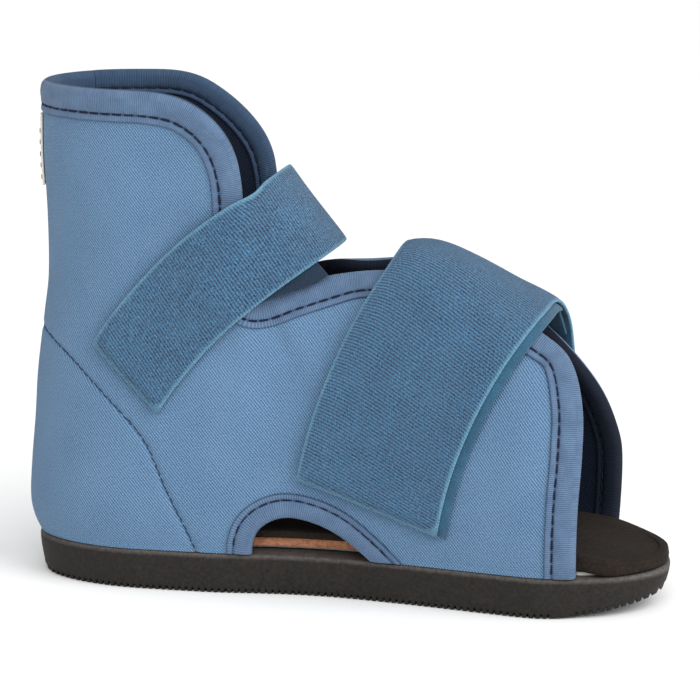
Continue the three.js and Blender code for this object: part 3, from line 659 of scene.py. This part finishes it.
def mottled(name, dark, light, depth, roughness, cloud_scale, grain_scale, grain=0.33, highlight_band=None):
    """A matt grainy stuff in cloudy tones, with a painted highlight, paler between two heights where such a
    band is given.
    """
    stuff = Looks(name, roughness, 0.3)
    large = stuff.noise(cloud_scale, 5.0, 0.6)
    fine = stuff.noise(grain_scale, 3.0, 0.6)
    tone = stuff.mix(stuff.range(stuff.sum((large, 1 - grain), (fine, grain)), 0.33, 0.68), dark, light)
    if highlight_band:
        low, high, pale = highlight_band
        # Painted highlight: paler towards the upper height, broken up by the grain
        painted_highlight = stuff.math("MULTIPLY", stuff.range(stuff.third, low, high, 0.0, 0.9), fine)
        tone = stuff.mix(painted_highlight, tone, pale)
    rough = stuff.range(fine, 0.3, 0.7, roughness - 0.08, min(1.0, roughness + 0.08))
    stuff.feed(stuff.inputs["Roughness"], rough)
    return stuff.done(tone, stuff.sum((large, 0.4), (fine, 1.0)), depth)


# Places across a binding where its seams and edges draw it in, and how far the painted shade of these grooves
# reaches
BINDING_SHADE_LINES = [
    (place + face, reach)
    for face in (0.0, INNER_PLACE) for place, reach in ((STITCH_LINE, 0.9), (BINDING_WIDTH, 0.7))
]
# A painted highlight along the top of the sole's side: the heights it spans and its paler colour
SOLE_TOP_HIGHLIGHT = (SOLE_THICKNESS - 2.2, SOLE_THICKNESS - 0.3, colour(108, 102, 98))


def taped(name, dark, light, sheen=0.0):
    return ribbed(name, dark, light, 0.82, 0.0002, sheen=sheen, grooves=BINDING_SHADE_LINES)


panel_cloth = knit("panel_cloth", colour(46, 80, 115), colour(114, 147, 178), 1.35, sheen=0.1)
# The lining's dark navy is partly its own colour and partly painted shade of the boot's inside
lining_cloth_and_shade = knit("lining_cloth_and_shade", colour(8, 14, 26), colour(24, 38, 60), 1.6)
foam_edge = mottled("foam_edge", colour(14, 18, 28), colour(30, 36, 50), 0.0002, 0.8, 0.6, 7.2)
binding_cloth = taped("binding_cloth", colour(34, 58, 92), colour(126, 154, 184), sheen=0.1)
# Darker copies of the binding tape for its inner side, as painted shade: less dark at the collar, darkest
# lower down
collar_inside_painted_shade = taped("collar_inside_painted_shade", colour(20, 36, 60), colour(78, 106, 138), sheen=0.05)
binding_inside_painted_shade = taped("binding_inside_painted_shade", colour(6, 12, 24), colour(22, 34, 54))
seam_thread = ribbed("seam_thread", colour(14, 28, 56), colour(40, 62, 100), 0.5, 0.0001)
thread = ribbed("thread", colour(8, 12, 30), colour(26, 34, 62), 0.5, 0.0001)
strap_cloth = hooked(
    "strap_cloth", colour(1, 25, 58), colour(89, 144, 186), colour(112, 168, 198), pitch=1.4, depth=0.0006
)
strap_fuzz = ribbed("strap_fuzz", colour(8, 40, 66), colour(72, 134, 168), 1.1, 0.0006, fuzz=0.9, sheen=0.15)
# A darker copy of the strap's fuzzy cloth for the tab, as painted shade of the strap over it
tab_cloth_painted_shade = ribbed("tab_cloth_painted_shade", colour(4, 18, 34), colour(34, 66, 94), 1.1, 0.0006, fuzz=0.9, sheen=0.1)
rubber = mottled(
    "outsole_rubber", colour(8, 7, 6), colour(40, 35, 31), 0.0003, 0.7, 0.05, 0.65, grain=0.8, highlight_band=SOLE_TOP_HIGHLIGHT
)
board_fibre = mottled("board_fibre", colour(205, 203, 198), colour(236, 234, 230), 0.0001, 0.9, 0.4, 4.8)
cork_grain = mottled("cork_grain", colour(140, 86, 60), colour(200, 142, 108), 0.0003, 0.9, 0.5, 2.5)
suede = mottled("suede_cover", colour(4, 3, 2), colour(42, 32, 23), 0.0005, 0.97, 0.1, 0.65, grain=0.7)
label_tape = ribbed(
    "label_tape", colour(206, 200, 186), colour(244, 240, 230), 0.8, 0.0001, ribs_across=True, sheen=0.3
)


# Upper panels


def make_quarter(side, name):
    seams = [(resample(SEAM[side], 1.6), 1.0), (back_line(BACK_SEAM_LOW, TOP), 0.9)]
    build = Build()
    panel(build, clean_loop(quarter_loop(side)), seams)
    materials = [panel_cloth, lining_cloth_and_shade, foam_edge]
    build.made(name + "_panel", materials, name)


def make_counter():
    """The panel round the heel, with a thread that wanders a little along its seam."""
    spacing, wander, wave = 1.6, 0.2, 4.4
    seam = resample(np.vstack([SEAM[MEDIAL][::-1], SEAM[LATERAL][1:]]), spacing)
    seam = seam[seam[:, 1] > FLOOR + 1]
    build = Build()
    panel(build, clean_loop(counter_loop()), [(seam, 1.0)])
    away = wander * np.sin(np.arange(len(seam)) * spacing * 2 * np.pi / wave)
    line = resample(seam + sideways(seam) * away[:, None], 0.8)
    stitches(build, 3, over(line, -0.75), normals_at(line), pitch=3.2, length=3.1, radius=0.24)
    materials = [panel_cloth, lining_cloth_and_shade, foam_edge, seam_thread]
    build.made("heel_counter_panel", materials, "heel_counter")


# Bindings: a folded tape swept along an edge

# Distance from the edge, height over the panel
BINDING_HEIGHTS = [
    (BINDING_WIDTH, 0.15), (11.2, 0.75), (10.9, 1.05), (10.2, 1.15), (9.2, 1.0), (8.5, 0.65),
    (STITCH_LINE, 0.4), (7.5, 0.65), (6.8, 1.1), (5.6, 1.35), (4.2, 1.5), (2.8, 1.5), (1.6, 1.4),
]


def march(path, insets):
    """Lines set in from an edge over the form, one (arc, z) line for each distance."""
    longest, reach = 0.8, 0.3
    tangent = unit(np.gradient(form(*path.T), axis=0))
    inward = unit(np.cross(tangent, normals_at(path)))
    here = path.copy()
    lines, done = [], 0.0
    for goal in insets:
        while done < goal - 1e-6:
            step = min(longest, goal - done)
            by_arc, by_z = (moved / (2 * reach) for moved in slopes(here[:, 0], here[:, 1], reach))
            normal = unit(np.cross(by_z, by_arc))
            inward = unit(inward - normal * dot(inward, normal)[:, None])
            # The step in (arc, z) whose move on the form comes nearest to inward
            arc_arc, arc_z, z_z = dot(by_arc, by_arc), dot(by_arc, by_z), dot(by_z, by_z)
            to_arc, to_z = dot(by_arc, inward), dot(by_z, inward)
            scale = np.maximum(arc_arc * z_z - arc_z * arc_z, 1e-6)
            move = spread(to_arc * z_z - to_z * arc_z, to_z * arc_arc - to_arc * arc_z) / scale[:, None]
            here = here + step * move
            done += step
        lines.append(here.copy())
    return lines


def binding(build, path, width=BINDING_WIDTH, bulge=1.0, thread_radius=0.45):
    """A tape folded over the edge along a path, whose length it returns.

    Kind 0 is its outer cloth, 1 the thread, 2 its inner side at the collar and 3 that elsewhere; kinds 2 and
    3 are darker copies of the cloth, painted shade, darkest lower down."""
    path = resample(soften(resample(path, 2.0), 2), 0.9)
    share = width / BINDING_WIDTH
    inner_share = share * INNER_NARROWING
    insets = sorted({inset * part for inset, _ in BINDING_HEIGHTS for part in (share, inner_share)})
    lines = dict(zip(insets, march(path, insets)))
    edge, edge_normal = form(*path.T), normals_at(path)
    outside = -unit(np.cross(unit(np.gradient(edge, axis=0)), edge_normal))
    along = lengths(edge)
    pull = 0.16 * np.sin(along * 2 * np.pi / 5.4) + 0.12 * np.sin(along / 7.3 + 1.0)
    columns, places = [], []

    def put(points, place):
        columns.append(points)
        places.append(place)

    def pulled(inset):
        return pull * math.exp(-(((inset - STITCH_LINE) / 1.6) ** 2))

    for inset, height in BINDING_HEIGHTS:
        uneven = 0.08 * np.sin(along / 3.1 + inset)
        put(over(lines[inset * share], height + pulled(inset) + uneven), inset)
    reach = WALL / 2 + FOLD_PLAY
    middle_of_wall = relief(*path.T) - WALL / 2
    for angle in np.radians(np.linspace(80, -80, 9)):
        rise = middle_of_wall + reach * math.sin(angle)
        beyond = bulge * (reach * math.cos(angle) - 1.0)
        put(edge + edge_normal * rise[:, None] + outside * beyond, -reach)
    for inset, height in BINDING_HEIGHTS[::-1]:
        put(over(lines[inset * inner_share], -WALL - height - pulled(inset)), inset + INNER_PLACE)
    hidden = [inset for inset, _ in BINDING_HEIGHTS[::3]]
    for inset in hidden:
        put(over(lines[inset * inner_share], 0.1 - WALL), inset)
    for inset in hidden[::-1]:
        put(over(lines[inset * share], -0.1), inset)
    grid = np.stack(columns, 1)
    weave = spread(along[:, None], np.array(places)[None])
    above = np.flatnonzero(grid[:, :, 2].max(1) > FLOOR + 0.3)
    first, last = above[0], above[-1]
    grid, weave = grid[first : last + 1], weave[first : last + 1]
    grid[:, :, 2] = np.maximum(grid[:, :, 2], FLOOR + 0.1)
    kinds = np.zeros((grid.shape[0] - 1, grid.shape[1]), int)
    # From part way round the fold inwards, the tape takes those darker copies as painted shade of the boot's
    # inside
    kinds[:, len(BINDING_HEIGHTS) + 3 :] = np.where(grid[:-1, :1, 2] > COLLAR_LOW, 2, 3)
    build.tube(grid, kinds, weave)
    outer_line, inner_line = lines[STITCH_LINE * share], lines[STITCH_LINE * inner_share]
    for line, height, facing in ((outer_line, 0.38, 1), (inner_line, -WALL - 0.38, -1)):
        stitches(build, 1, over(line, height), facing * normals_at(line), 5.4, 4.8, thread_radius)
    return along[last] - along[first]


def make_binding(name, node, rests_on, path, **sizes):
    build = Build()
    length = binding(build, path, **sizes)
    tape = build.made(name, [binding_cloth, thread, collar_inside_painted_shade, binding_inside_painted_shade], node)


def make_bindings():
    """The near tape runs round the back too, up to a joint with the far one."""
    round_back = np.linspace((JOINT_ARC, TOP), (1.0, TOP), 16)
    near = np.vstack([round_back, down_to_floor(EDGE[MEDIAL])])
    far = down_to_floor(EDGE[LATERAL])
    far = np.vstack([[JOINT_ARC + 0.4, TOP], far[far[:, 0] > JOINT_ARC + 0.5]])
    medial, lateral = "quarter_medial_panel", "quarter_lateral_panel"
    make_binding("binding_medial_tape", "binding_medial", [medial, lateral], near)
    make_binding("binding_lateral_tape", "binding_lateral", [lateral], far[::-1])
    make_binding(
        "window_binding_tape", "window_binding", [medial], WINDOW[1:][::-1],
        width=10.0, bulge=0.5, thread_radius=0.32,
    )


# Sole and footbed: stacked rings, with detail in the height of each point


def toe_share(x, length):
    return np.maximum(0, 1 - (SOLE_LENGTH - x) / length)


def sole_bottom(x):
    return TOE_SPRING * toe_share(x, TOE_SPRING_LENGTH) ** 2


def sole_top(x):
    return SOLE_THICKNESS + TOE_TOP_RISE * toe_share(x, TOE_TOP_RISE_LENGTH) ** 2


def ring(inset, stations):
    """Closed plan outline, set in from the sole's edge by inset(x)."""
    share = (1 - np.cos(np.pi * np.arange(stations + 1) / stations)) / 2
    first, last = float(inset(np.array(0.0))), float(inset(np.array(SOLE_LENGTH)))
    x = lerp(first, SOLE_LENGTH - last, share)
    rounding = round_end(x - first, HEEL_ROUND) * round_end(SOLE_LENGTH - last - x, TOE_ROUND)
    edges = []
    for side in (MEDIAL, LATERAL):
        reach = np.where(share < 0.5, first, last)
        half = half_width(side, x) - lerp(reach, inset(x), rounding)
        edges.append(spread(x, middle(x) + side * half * rounding))
    return np.vstack([edges[0], edges[1][::-1][1:-1]])


def stack(build, levels, stations, bottom=None, top=None, across=12):
    """A body of stacked rings, each with an inset and a height, closed by a sheet below and one above.

    Where bottom or top is given, it is the height of that sheet away from its rim."""
    loops = []
    for inset, height in levels:
        flat = ring(inset, stations)
        loops.append(np.column_stack([flat, height(flat[:, 0], flat[:, 1])]))
    build.grid(np.stack(loops), 0, wrap_columns=True)
    for loop, finish, is_bottom in ((loops[0], bottom, True), (loops[-1], top, False)):
        near, far = loop[1:stations], loop[: stations : -1][: stations - 1]
        t = np.linspace(0, 1, across)[:, None, None]
        sheet = near[None] * (1 - t) + far[None] * t
        if finish is not None:
            sheet[1:-1, :, 2] = finish(sheet[1:-1, :, 0], sheet[1:-1, :, 1])
        build.grid(sheet, 0, flip=is_bottom)
        for column, tip, is_heel in ((sheet[:, 0], loop[0], True), (sheet[:, -1], loop[stations], False)):
            faces = [(i, i + 1, across) for i in range(across - 1)]
            if is_heel != is_bottom:
                faces = [face[::-1] for face in faces]
            build.add(np.vstack([column, tip]), faces, 0)


def tread(x):
    """Depth of the cross grooves at a place, with softened shoulders and one plain stretch."""
    at = np.mod(x - TREAD_PITCH, TREAD_PITCH)
    groove = plateau(at, 0.0, 0.35, TREAD_GROOVE - 0.35, TREAD_GROOVE)
    return TREAD_DEPTH * groove * smoothstep(np.abs(x - TREAD_GAP_AT), 3.0, 5.0)


# Rings of the sole: inset, more inset in a groove, share of the way up, height over that, share of the
# grooves' depth
SOLE_RINGS = [
    (3.4, 0.3, 0, 0, 1), (2.7, 0.5, 0, 0.35, 0.85), (2.35, 0.5, 0, 1.3, 0.4), (2.0, 0.3, 0, 2.4, 0),
    (1.65, 0, 0, 3.0, 0), (1.3, 0, 0.3, 0, 0), (0.8, 0, 0.45, 0, 0), (0.3, 0, 0.62, 0, 0), (0, 0, 0.8, 0, 0),
    (-0.05, 0, 1, -1.4, 0), (0.15, 0, 1, -0.6, 0), (0.6, 0, 1, -0.15, 0), (1.2, 0, 1, 0, 0),
]


def make_outsole():
    def level(inset, notch, share, more, grooves):
        def edge(x):
            return inset + notch * tread(x) / TREAD_DEPTH * plateau(x, 3, 8, 268, 276)

        def height(x, y):
            return lerp(sole_bottom(x), sole_top(x), share) + more + tread(x) * grooves

        return edge, height

    build = Build()
    stack(
        build, [level(*row) for row in SOLE_RINGS], 1400, across=8,
        bottom=lambda x, y: sole_bottom(x) + tread(x), top=lambda x, y: sole_top(x),
    )
    build.made("outsole_rubber", [rubber], "outsole")


# Heights over the sole's top, away from the toe
CORE_LOW = 2 * GAP + BOARD
CORE_HIGH = CORE_LOW + CORE
COVER_TOP = CORE_HIGH + GAP + COVER


def footbed_inset(x):
    opened = smoothstep(toe_share(np.asarray(x, float), FOOTBED_TOE_LENGTH), 0, 0.5)
    return lerp(WALL + FREE_PLAY, 0.4, opened)


def settled(x, above):
    """Height of a layer above the board: these layers thin out towards the toe."""
    return sole_top(x) + CORE_LOW + (above - CORE_LOW) * (1 - 0.5 * smoothstep(x, 236, 274))


def make_board():
    """The board is drawn in behind the window and under the cover's toe."""
    def level(inset, above):
        def edge(x):
            by_window, by_toe = plateau(x, 88, 100, 172, 184), smoothstep(x, 244, 262)
            return footbed_inset(x) + inset + 6.0 * by_window + 4.5 * by_toe

        return edge, lambda x, y: sole_top(x) + above

    build = Build()
    stack(build, [level(1.1, GAP), level(1.0, 1.0), level(1.2, GAP + BOARD)], 160)
    build.made("insole_fibre_board", [board_fibre], "insole_board")


def make_core():
    """The core's edge is faintly stepped, as pressed layers are."""
    def level(inset, above):
        return lambda x: footbed_inset(x) + inset, lambda x, y: settled(x, above)

    rows = [level(2.6, CORE_LOW), level(2.45, CORE_LOW + 0.3)]
    rows += [level(2.4 + 0.15 * (i % 2), CORE_LOW + 0.3 + (CORE - 0.6) * i / 6) for i in range(1, 6)]
    rows += [level(2.5, CORE_HIGH - 0.3), level(2.8, CORE_HIGH)]
    build = Build()
    stack(build, rows, 220)
    build.made("footbed_cork", [cork_grain], "footbed_core")


# Rings of the cover's rolled edge: inset, share of the way from its lip to its top
COVER_RINGS = [
    (2.1, 0.0), (1.3, 0.0), (0.55, 0.06), (0.2, 0.25), (0.1, 0.45), (0.25, 0.6), (0.5, 0.68), (0.35, 0.76),
    (0.5, 0.88), (1.1, 0.97), (2.2, 1.0), (4.0, 0.985),
]


def make_cover():
    def lip(x, y):
        """Height of the lower edge, which stops short over the window and hangs lower at the toe."""
        by_window = (y < middle(x)) * plateau(x, 92, 100, 166, 176)
        return settled(x, lerp(CORE_LOW, CORE_HIGH - 1.0, by_window)) - 1.7 * smoothstep(x, 246, 258)

    def level(inset, share):
        return lambda x: footbed_inset(x) + inset, lambda x, y: lerp(lip(x, y), settled(x, COVER_TOP), share)

    def worn_top(x, y):
        crown = 0.35 * np.sin(x / 23) * np.sin(y / 11 + 1) + 0.2 * np.sin(x / 9 + y / 7)
        return settled(x, COVER_TOP) + crown - 0.3

    build = Build()
    stack(
        build, [level(*row) for row in COVER_RINGS], 320, across=26,
        bottom=lambda x, y: settled(x, CORE_HIGH + GAP), top=worn_top,
    )
    build.made("footbed_suede", [suede], "footbed_cover")


# Straps


class Strap:
    """The way of a strap over the upper, in turn and across.

    Turn runs from -1 at the near end over the ridge at 0 to 1 at the far end, and across from the strap's
    rear edge to its front one in millimetres. Tilt and leans are in degrees. Near and far are the lengths
    down each side from the point where the strap crosses the ridge. Bows push the strap forward half way
    down: on the near side, and at the rear and front of the far side."""

    def __init__(self, tilt, leans, crossing_at, bows, near, far, width, phase, arched=False):
        angle = math.radians(tilt)
        ups = [angle + math.radians(lean) for lean in leans]
        self.near_up, self.far_up = (np.array([math.sin(up), math.cos(up)]) for up in ups)
        self.forward = np.array([math.cos(angle), -math.sin(angle)])
        x = crossing_at * SOLE_LENGTH
        self.origin = np.array([x, SOLE_THICKNESS + UPPER_HEIGHT / float(plan(CLOSING, x))])
        self.near_bow, self.rear_bow, self.front_bow = bows
        self.near, self.far, self.width, self.phase, self.arched = near, far, width, phase, arched

    def ridge(self, across):
        """How far up from the origin the upper's ridge lies, found by halving."""
        low, high = np.full(len(across), -66.0), np.full(len(across), 66.0)
        for _ in range(40):
            reach = (low + high) / 2
            spot = self.origin + reach[:, None] * self.near_up + across[:, None] * self.forward
            below = up_share(spot[:, 1]) * np.maximum(0, plan(CLOSING, spot[:, 0])) < 1
            low, high = np.where(below, reach, low), np.where(below, high, reach)
        return low

    def arched_y(self, side, spot, y, top, down, place):
        """Stands the strap off the shaft's open front in an arch of its own."""
        start = -lerp(15.0, 46.0, place)
        share = np.clip((top + down - start) / (top - start), 0, 1)
        arch_share = (1 - share**2.3) ** (1 / 2.3)
        gain = curve(HEIGHTS, WIDTH_GAIN, up_share(spot[:, 1]))
        full = half_width(side, spot[:, 0]) * gain * round_end(spot[:, 0], HEEL_ROUND)
        held = 1 - smoothstep(share, 0.7, 1.0)
        return side * np.maximum(side * (y - middle(spot[:, 0])) * held, full * arch_share)

    def points(self, turn, across):
        turn, across = np.broadcast_arrays(turn, across)
        shape = turn.shape
        turn, across = turn.ravel(), across.ravel()
        side = np.where(turn < 0, MEDIAL, LATERAL)
        place = across / self.width + 0.5
        end = np.where(side < 0, self.near, self.far)
        rise = np.cos(np.minimum(np.abs(turn), 1) * np.pi / 2) ** (2 / ROUNDNESS)
        if self.arched:
            top = 3.0 + across * math.tan(math.radians(-3.6))
        else:
            keys = np.linspace(across.min() - 1, across.max() + 1, 60)
            top = np.interp(across, keys, self.ridge(keys))
        bow = np.where(side < 0, self.near_bow, lerp(self.rear_bow, self.front_bow, place))
        bowed = across - 4 * bow * rise * (1 - rise)
        down = (end + top) * (rise - 1)
        up = np.where(side[:, None] < 0, self.near_up, self.far_up)
        spot = self.origin + top[:, None] * self.near_up + bowed[:, None] * self.forward + down[:, None] * up
        y = face_seen_at(side, spot[:, 0], spot[:, 1])
        if self.arched:
            y = self.arched_y(side, spot, y, top, down, place)
        return spread(spot[:, 0], y, spot[:, 1]).reshape(*shape, 3)

    def surface(self, turn, across):
        """Points and smoothed normals."""
        reach = 0.02
        ahead, behind = np.clip(turn + reach, -1, 1), np.clip(turn - reach, -1, 1)
        by_turn = self.points(ahead, across) - self.points(behind, across)
        by_across = self.points(turn, across + 0.5) - self.points(turn, across - 0.5)
        normal = unit(np.cross(by_across, by_turn))
        for _ in range(3):
            normal[1:-1] = unit(normal[:-2] + normal[1:-1] + normal[2:])
        return self.points(turn, across), normal

    def ruffle(self, turn, across):
        """Faint waves of the strap between its ends."""
        long_wave = 0.5 * np.sin(turn * 9 + across / 11 + self.phase)
        short_wave = 0.35 * np.sin(turn * 17 - across / 7 + self.phase)
        return 0.3 * (long_wave + short_wave) * smoothstep(1 - np.abs(turn), 0.0, 0.15)


ANKLE = Strap(
    tilt=46, leans=(0, 0), crossing_at=0.4225, bows=(6, 6, 6), near=96.5, far=92, width=41, phase=1.7,
    arched=True,
)
FOREFOOT = Strap(
    tilt=17, leans=(6.5, -19), crossing_at=0.7, bows=(6, 3, -4.5), near=104, far=88, width=66, phase=3.4
)


def far_arch(turn):
    """Where the wide strap stands off as it turns over to the far side."""
    return np.exp(-(((turn - 0.42) / 0.2) ** 2))


def ankle_lift(turn):
    stacked = lerp(1.8, 3.4, smoothstep(turn, -0.86, -0.64))
    free = lerp(stacked, REST, smoothstep(turn, -0.2, 0.4))
    return lerp(free, 0.6, smoothstep(turn, 0.85, 1.0))


def forefoot_lift(turn):
    stacked = lerp(2.7, 3.5, smoothstep(turn, -0.9, -0.6))
    free = lerp(stacked, REST, smoothstep(turn, 0.2, 0.7))
    return lerp(free, 0.6, smoothstep(turn, 0.85, 1.0)) + 2.4 * far_arch(turn)


def backing_lift(turn):
    return lerp(1.0, 1.9, smoothstep(turn, -0.9, -0.6)) + 0.6 * far_arch(turn)


def tab_lift(turn):
    return 1.9 + 0 * turn


def band_profile(half, flat, face, back, edge):
    """Places and heights round a band: over its face, round an edge, along its back and round the other edge.

    The edge is given by distances in from the half width, each with a height."""
    inset, height = np.array(edge).T
    place = np.concatenate([flat, half - inset, flat[::-1], inset[::-1] - half])
    return place[None, :], np.concatenate([face + 0 * flat, height, back + 0 * flat, height[::-1]])[None, :]


def strap_band(build, strap, thickness, lift, first=-1, last=1, stations=150, shift=None):
    """A closed band with rounded selvedges along a strap's way; kind 0 is its face and 1 its underside.

    Its weave coordinates are along, across and the distance to its edge."""
    half = strap.width / 2
    count = 26
    flat = np.linspace(-half + 0.6, half - 0.6, count)
    face = 0.86 + 0.14 * np.minimum(half - np.abs(flat), 3.0) / 3.0
    place, height = band_profile(half, flat, face, 0.0, [(0.15, 0.72), (0.0, 0.45), (0.15, 0.14)])
    turn = np.linspace(first, last, stations)[:, None]
    base, normal = strap.surface(turn, place + (0 * turn if shift is None else shift(turn)))
    side = np.where(turn < 0, MEDIAL, LATERAL)
    swell = relief(arc_at(side, base[..., 0], base[..., 2]), base[..., 2])
    swell = np.maximum(swell * smoothstep(np.abs(turn), 0.3, 0.6), 0)
    rise = thickness * height + lift(turn) + swell + strap.ruffle(turn, place)
    grid = base + normal * rise[..., None]
    along = lengths(grid[:, count // 2])
    to_end = np.minimum(along, along[-1] - along)[:, None]
    margin = np.minimum(half - np.abs(place), to_end)
    kinds = np.zeros((stations - 1, place.size), int)
    kinds[:, count + 3 : 2 * count + 2] = 1
    build.tube(grid, kinds, spread(along[:, None], place, margin))
    return grid, normal, along[-1]


# Rows and columns of a strap's points round which its far end is sewn down
BOX_ROWS, BOX_COLUMNS = (136, 147), (1, 24)


def box_stitch(build, grid, normal):
    (start, end), (left, right) = BOX_ROWS, BOX_COLUMNS
    down, over_it = slice(start, end + 1), slice(left, right + 1)
    for side in ((start, over_it), (down, right), (end, over_it), (down, left)):
        stitches(build, 2, grid[side], normal[side], pitch=3.4, length=2.8, radius=0.32)


def make_strap(name, node, strap, thickness, lift):
    build = Build()
    grid, normal, length = strap_band(build, strap, thickness, lift)
    box_stitch(build, grid, normal)
    band = build.made(name, [strap_cloth, strap_fuzz, thread], node)


def make_under_cloth(name, node, cloth, strap, thickness, lift, **run):
    """A second layer under a strap's near end."""
    build = Build()
    _, _, length = strap_band(build, strap, thickness, lift, **run)
    band = build.made(name, [cloth, cloth], node)


def make_straps():
    make_strap("ankle_strap_loop", "ankle_strap", ANKLE, 1.8, ankle_lift)
    make_strap("forefoot_strap_loop", "forefoot_strap", FOREFOOT, 1.7, forefoot_lift)
    # The ankle tab's darker cloth is painted shade of the strap above it
    make_under_cloth(
        "ankle_tab_cloth", "ankle_strap_tab", tab_cloth_painted_shade, ANKLE, 1.1, tab_lift, first=-0.636, last=-0.273,
        stations=60, shift=lambda turn: lerp(0.5, 7.4, smoothstep(turn, -0.62, -0.34)),
    )
    make_under_cloth(
        "forefoot_backing_cloth", "forefoot_strap_backing", strap_fuzz, FOREFOOT, 1.4, backing_lift,
        last=0.48, stations=120, shift=lambda turn: lerp(3.5, -1.5, smoothstep(turn, 0.1, 0.34)),
    )


def make_label():
    """A bare woven tape sewn down the back, as a closed band."""
    half, low, high, to_stitches = 10.0, TOP - 44, TOP - 13, 8.4
    zs = np.linspace(low, high, 32)[:, None]
    flat = np.linspace(-half + 0.5, half - 0.5, 22)
    arcs, heights = band_profile(half, flat, 1.4, 0.35, [(0.1, 1.2), (0.0, 0.8), (0.1, 0.4)])
    build = Build()
    build.tube(on_form(arcs, zs, heights + 0 * zs), 0, spread(arcs, zs))
    for arc in (-to_stitches, to_stitches):
        line = np.linspace((arc, low + 1), (arc, high - 1), 40)
        stitches(build, 1, over(line, 1.35), normals_at(line), pitch=5.0, length=2.6, radius=0.3)
    label = build.made("back_label_tape", [label_tape, thread], "back_label")


make_quarter(MEDIAL, "quarter_medial")
make_quarter(LATERAL, "quarter_lateral")
make_counter()
make_bindings()
make_outsole()
make_board()
make_core()
make_cover()
make_straps()
make_label()


# Floor, light and camera, in metres


def make_floor():
    mesh = bpy.data.meshes.new("floor")
    mesh.from_pydata([(-4, -4, 0), (4, -4, 0), (4, 4, 0), (-4, 4, 0)], [], [(0, 1, 2, 3)])
    floor = bpy.data.objects.new("floor", mesh)
    bpy.context.scene.collection.objects.link(floor)
    paint = Looks("floor_paint", 0.9, 0.1)
    paint.inputs["Base Color"].default_value = (0.97, 0.97, 0.97, 1)
    mesh.materials.append(paint.material)


def make_world(strength):
    world = bpy.data.worlds.new("studio")
    world.use_nodes = True
    background = world.node_tree.nodes["Background"]
    background.inputs["Color"].default_value = (1, 1, 1, 1)
    background.inputs["Strength"].default_value = strength
    bpy.context.scene.world = world


def placed(name, data, place, direction):
    """An object that looks along a direction, as lights and cameras do."""
    obj = bpy.data.objects.new(name, data)
    obj.location = place
    obj.rotation_euler = direction.to_track_quat("-Z", "Y").to_euler()
    bpy.context.scene.collection.objects.link(obj)
    return obj


def make_light(name, kind, energy, place, aim, **settings):
    light = bpy.data.lights.new(name, kind)
    light.energy = energy
    for key, value in settings.items():
        setattr(light, key, value)
    placed(name, light, place, Vector(aim) - Vector(place))


def make_camera(target, azimuth, elevation, distance, lens):
    camera = bpy.data.cameras.new("camera")
    camera.sensor_width = 36
    camera.lens = lens
    camera.clip_end = 50
    level, up = math.cos(math.radians(elevation)), math.sin(math.radians(elevation))
    aside = math.radians(azimuth)
    back = Vector((math.sin(aside) * level, -math.cos(aside) * level, up))
    bpy.context.scene.camera = placed("camera", camera, Vector(target) + back * distance, -back)


make_floor()
make_world(0.66)
make_light("key", "AREA", 22, (0.35, -1.9, 1.5), (0, 0, 0.1), shape="SQUARE", size=1.2)
make_light("fill", "AREA", 6, (1.6, -1.0, 0.9), (0, 0, 0.1), shape="SQUARE", size=1.0)
make_light("broad", "SUN", 1.75, (0, 0, 0), (-1.1, 0.45, -0.9), angle=math.radians(50))
make_camera((0.0151, -0.0693, 0.118), azimuth=12, elevation=12.2, distance=1.37, lens=171.9)
bpy.context.scene.view_settings.view_transform = "Standard"
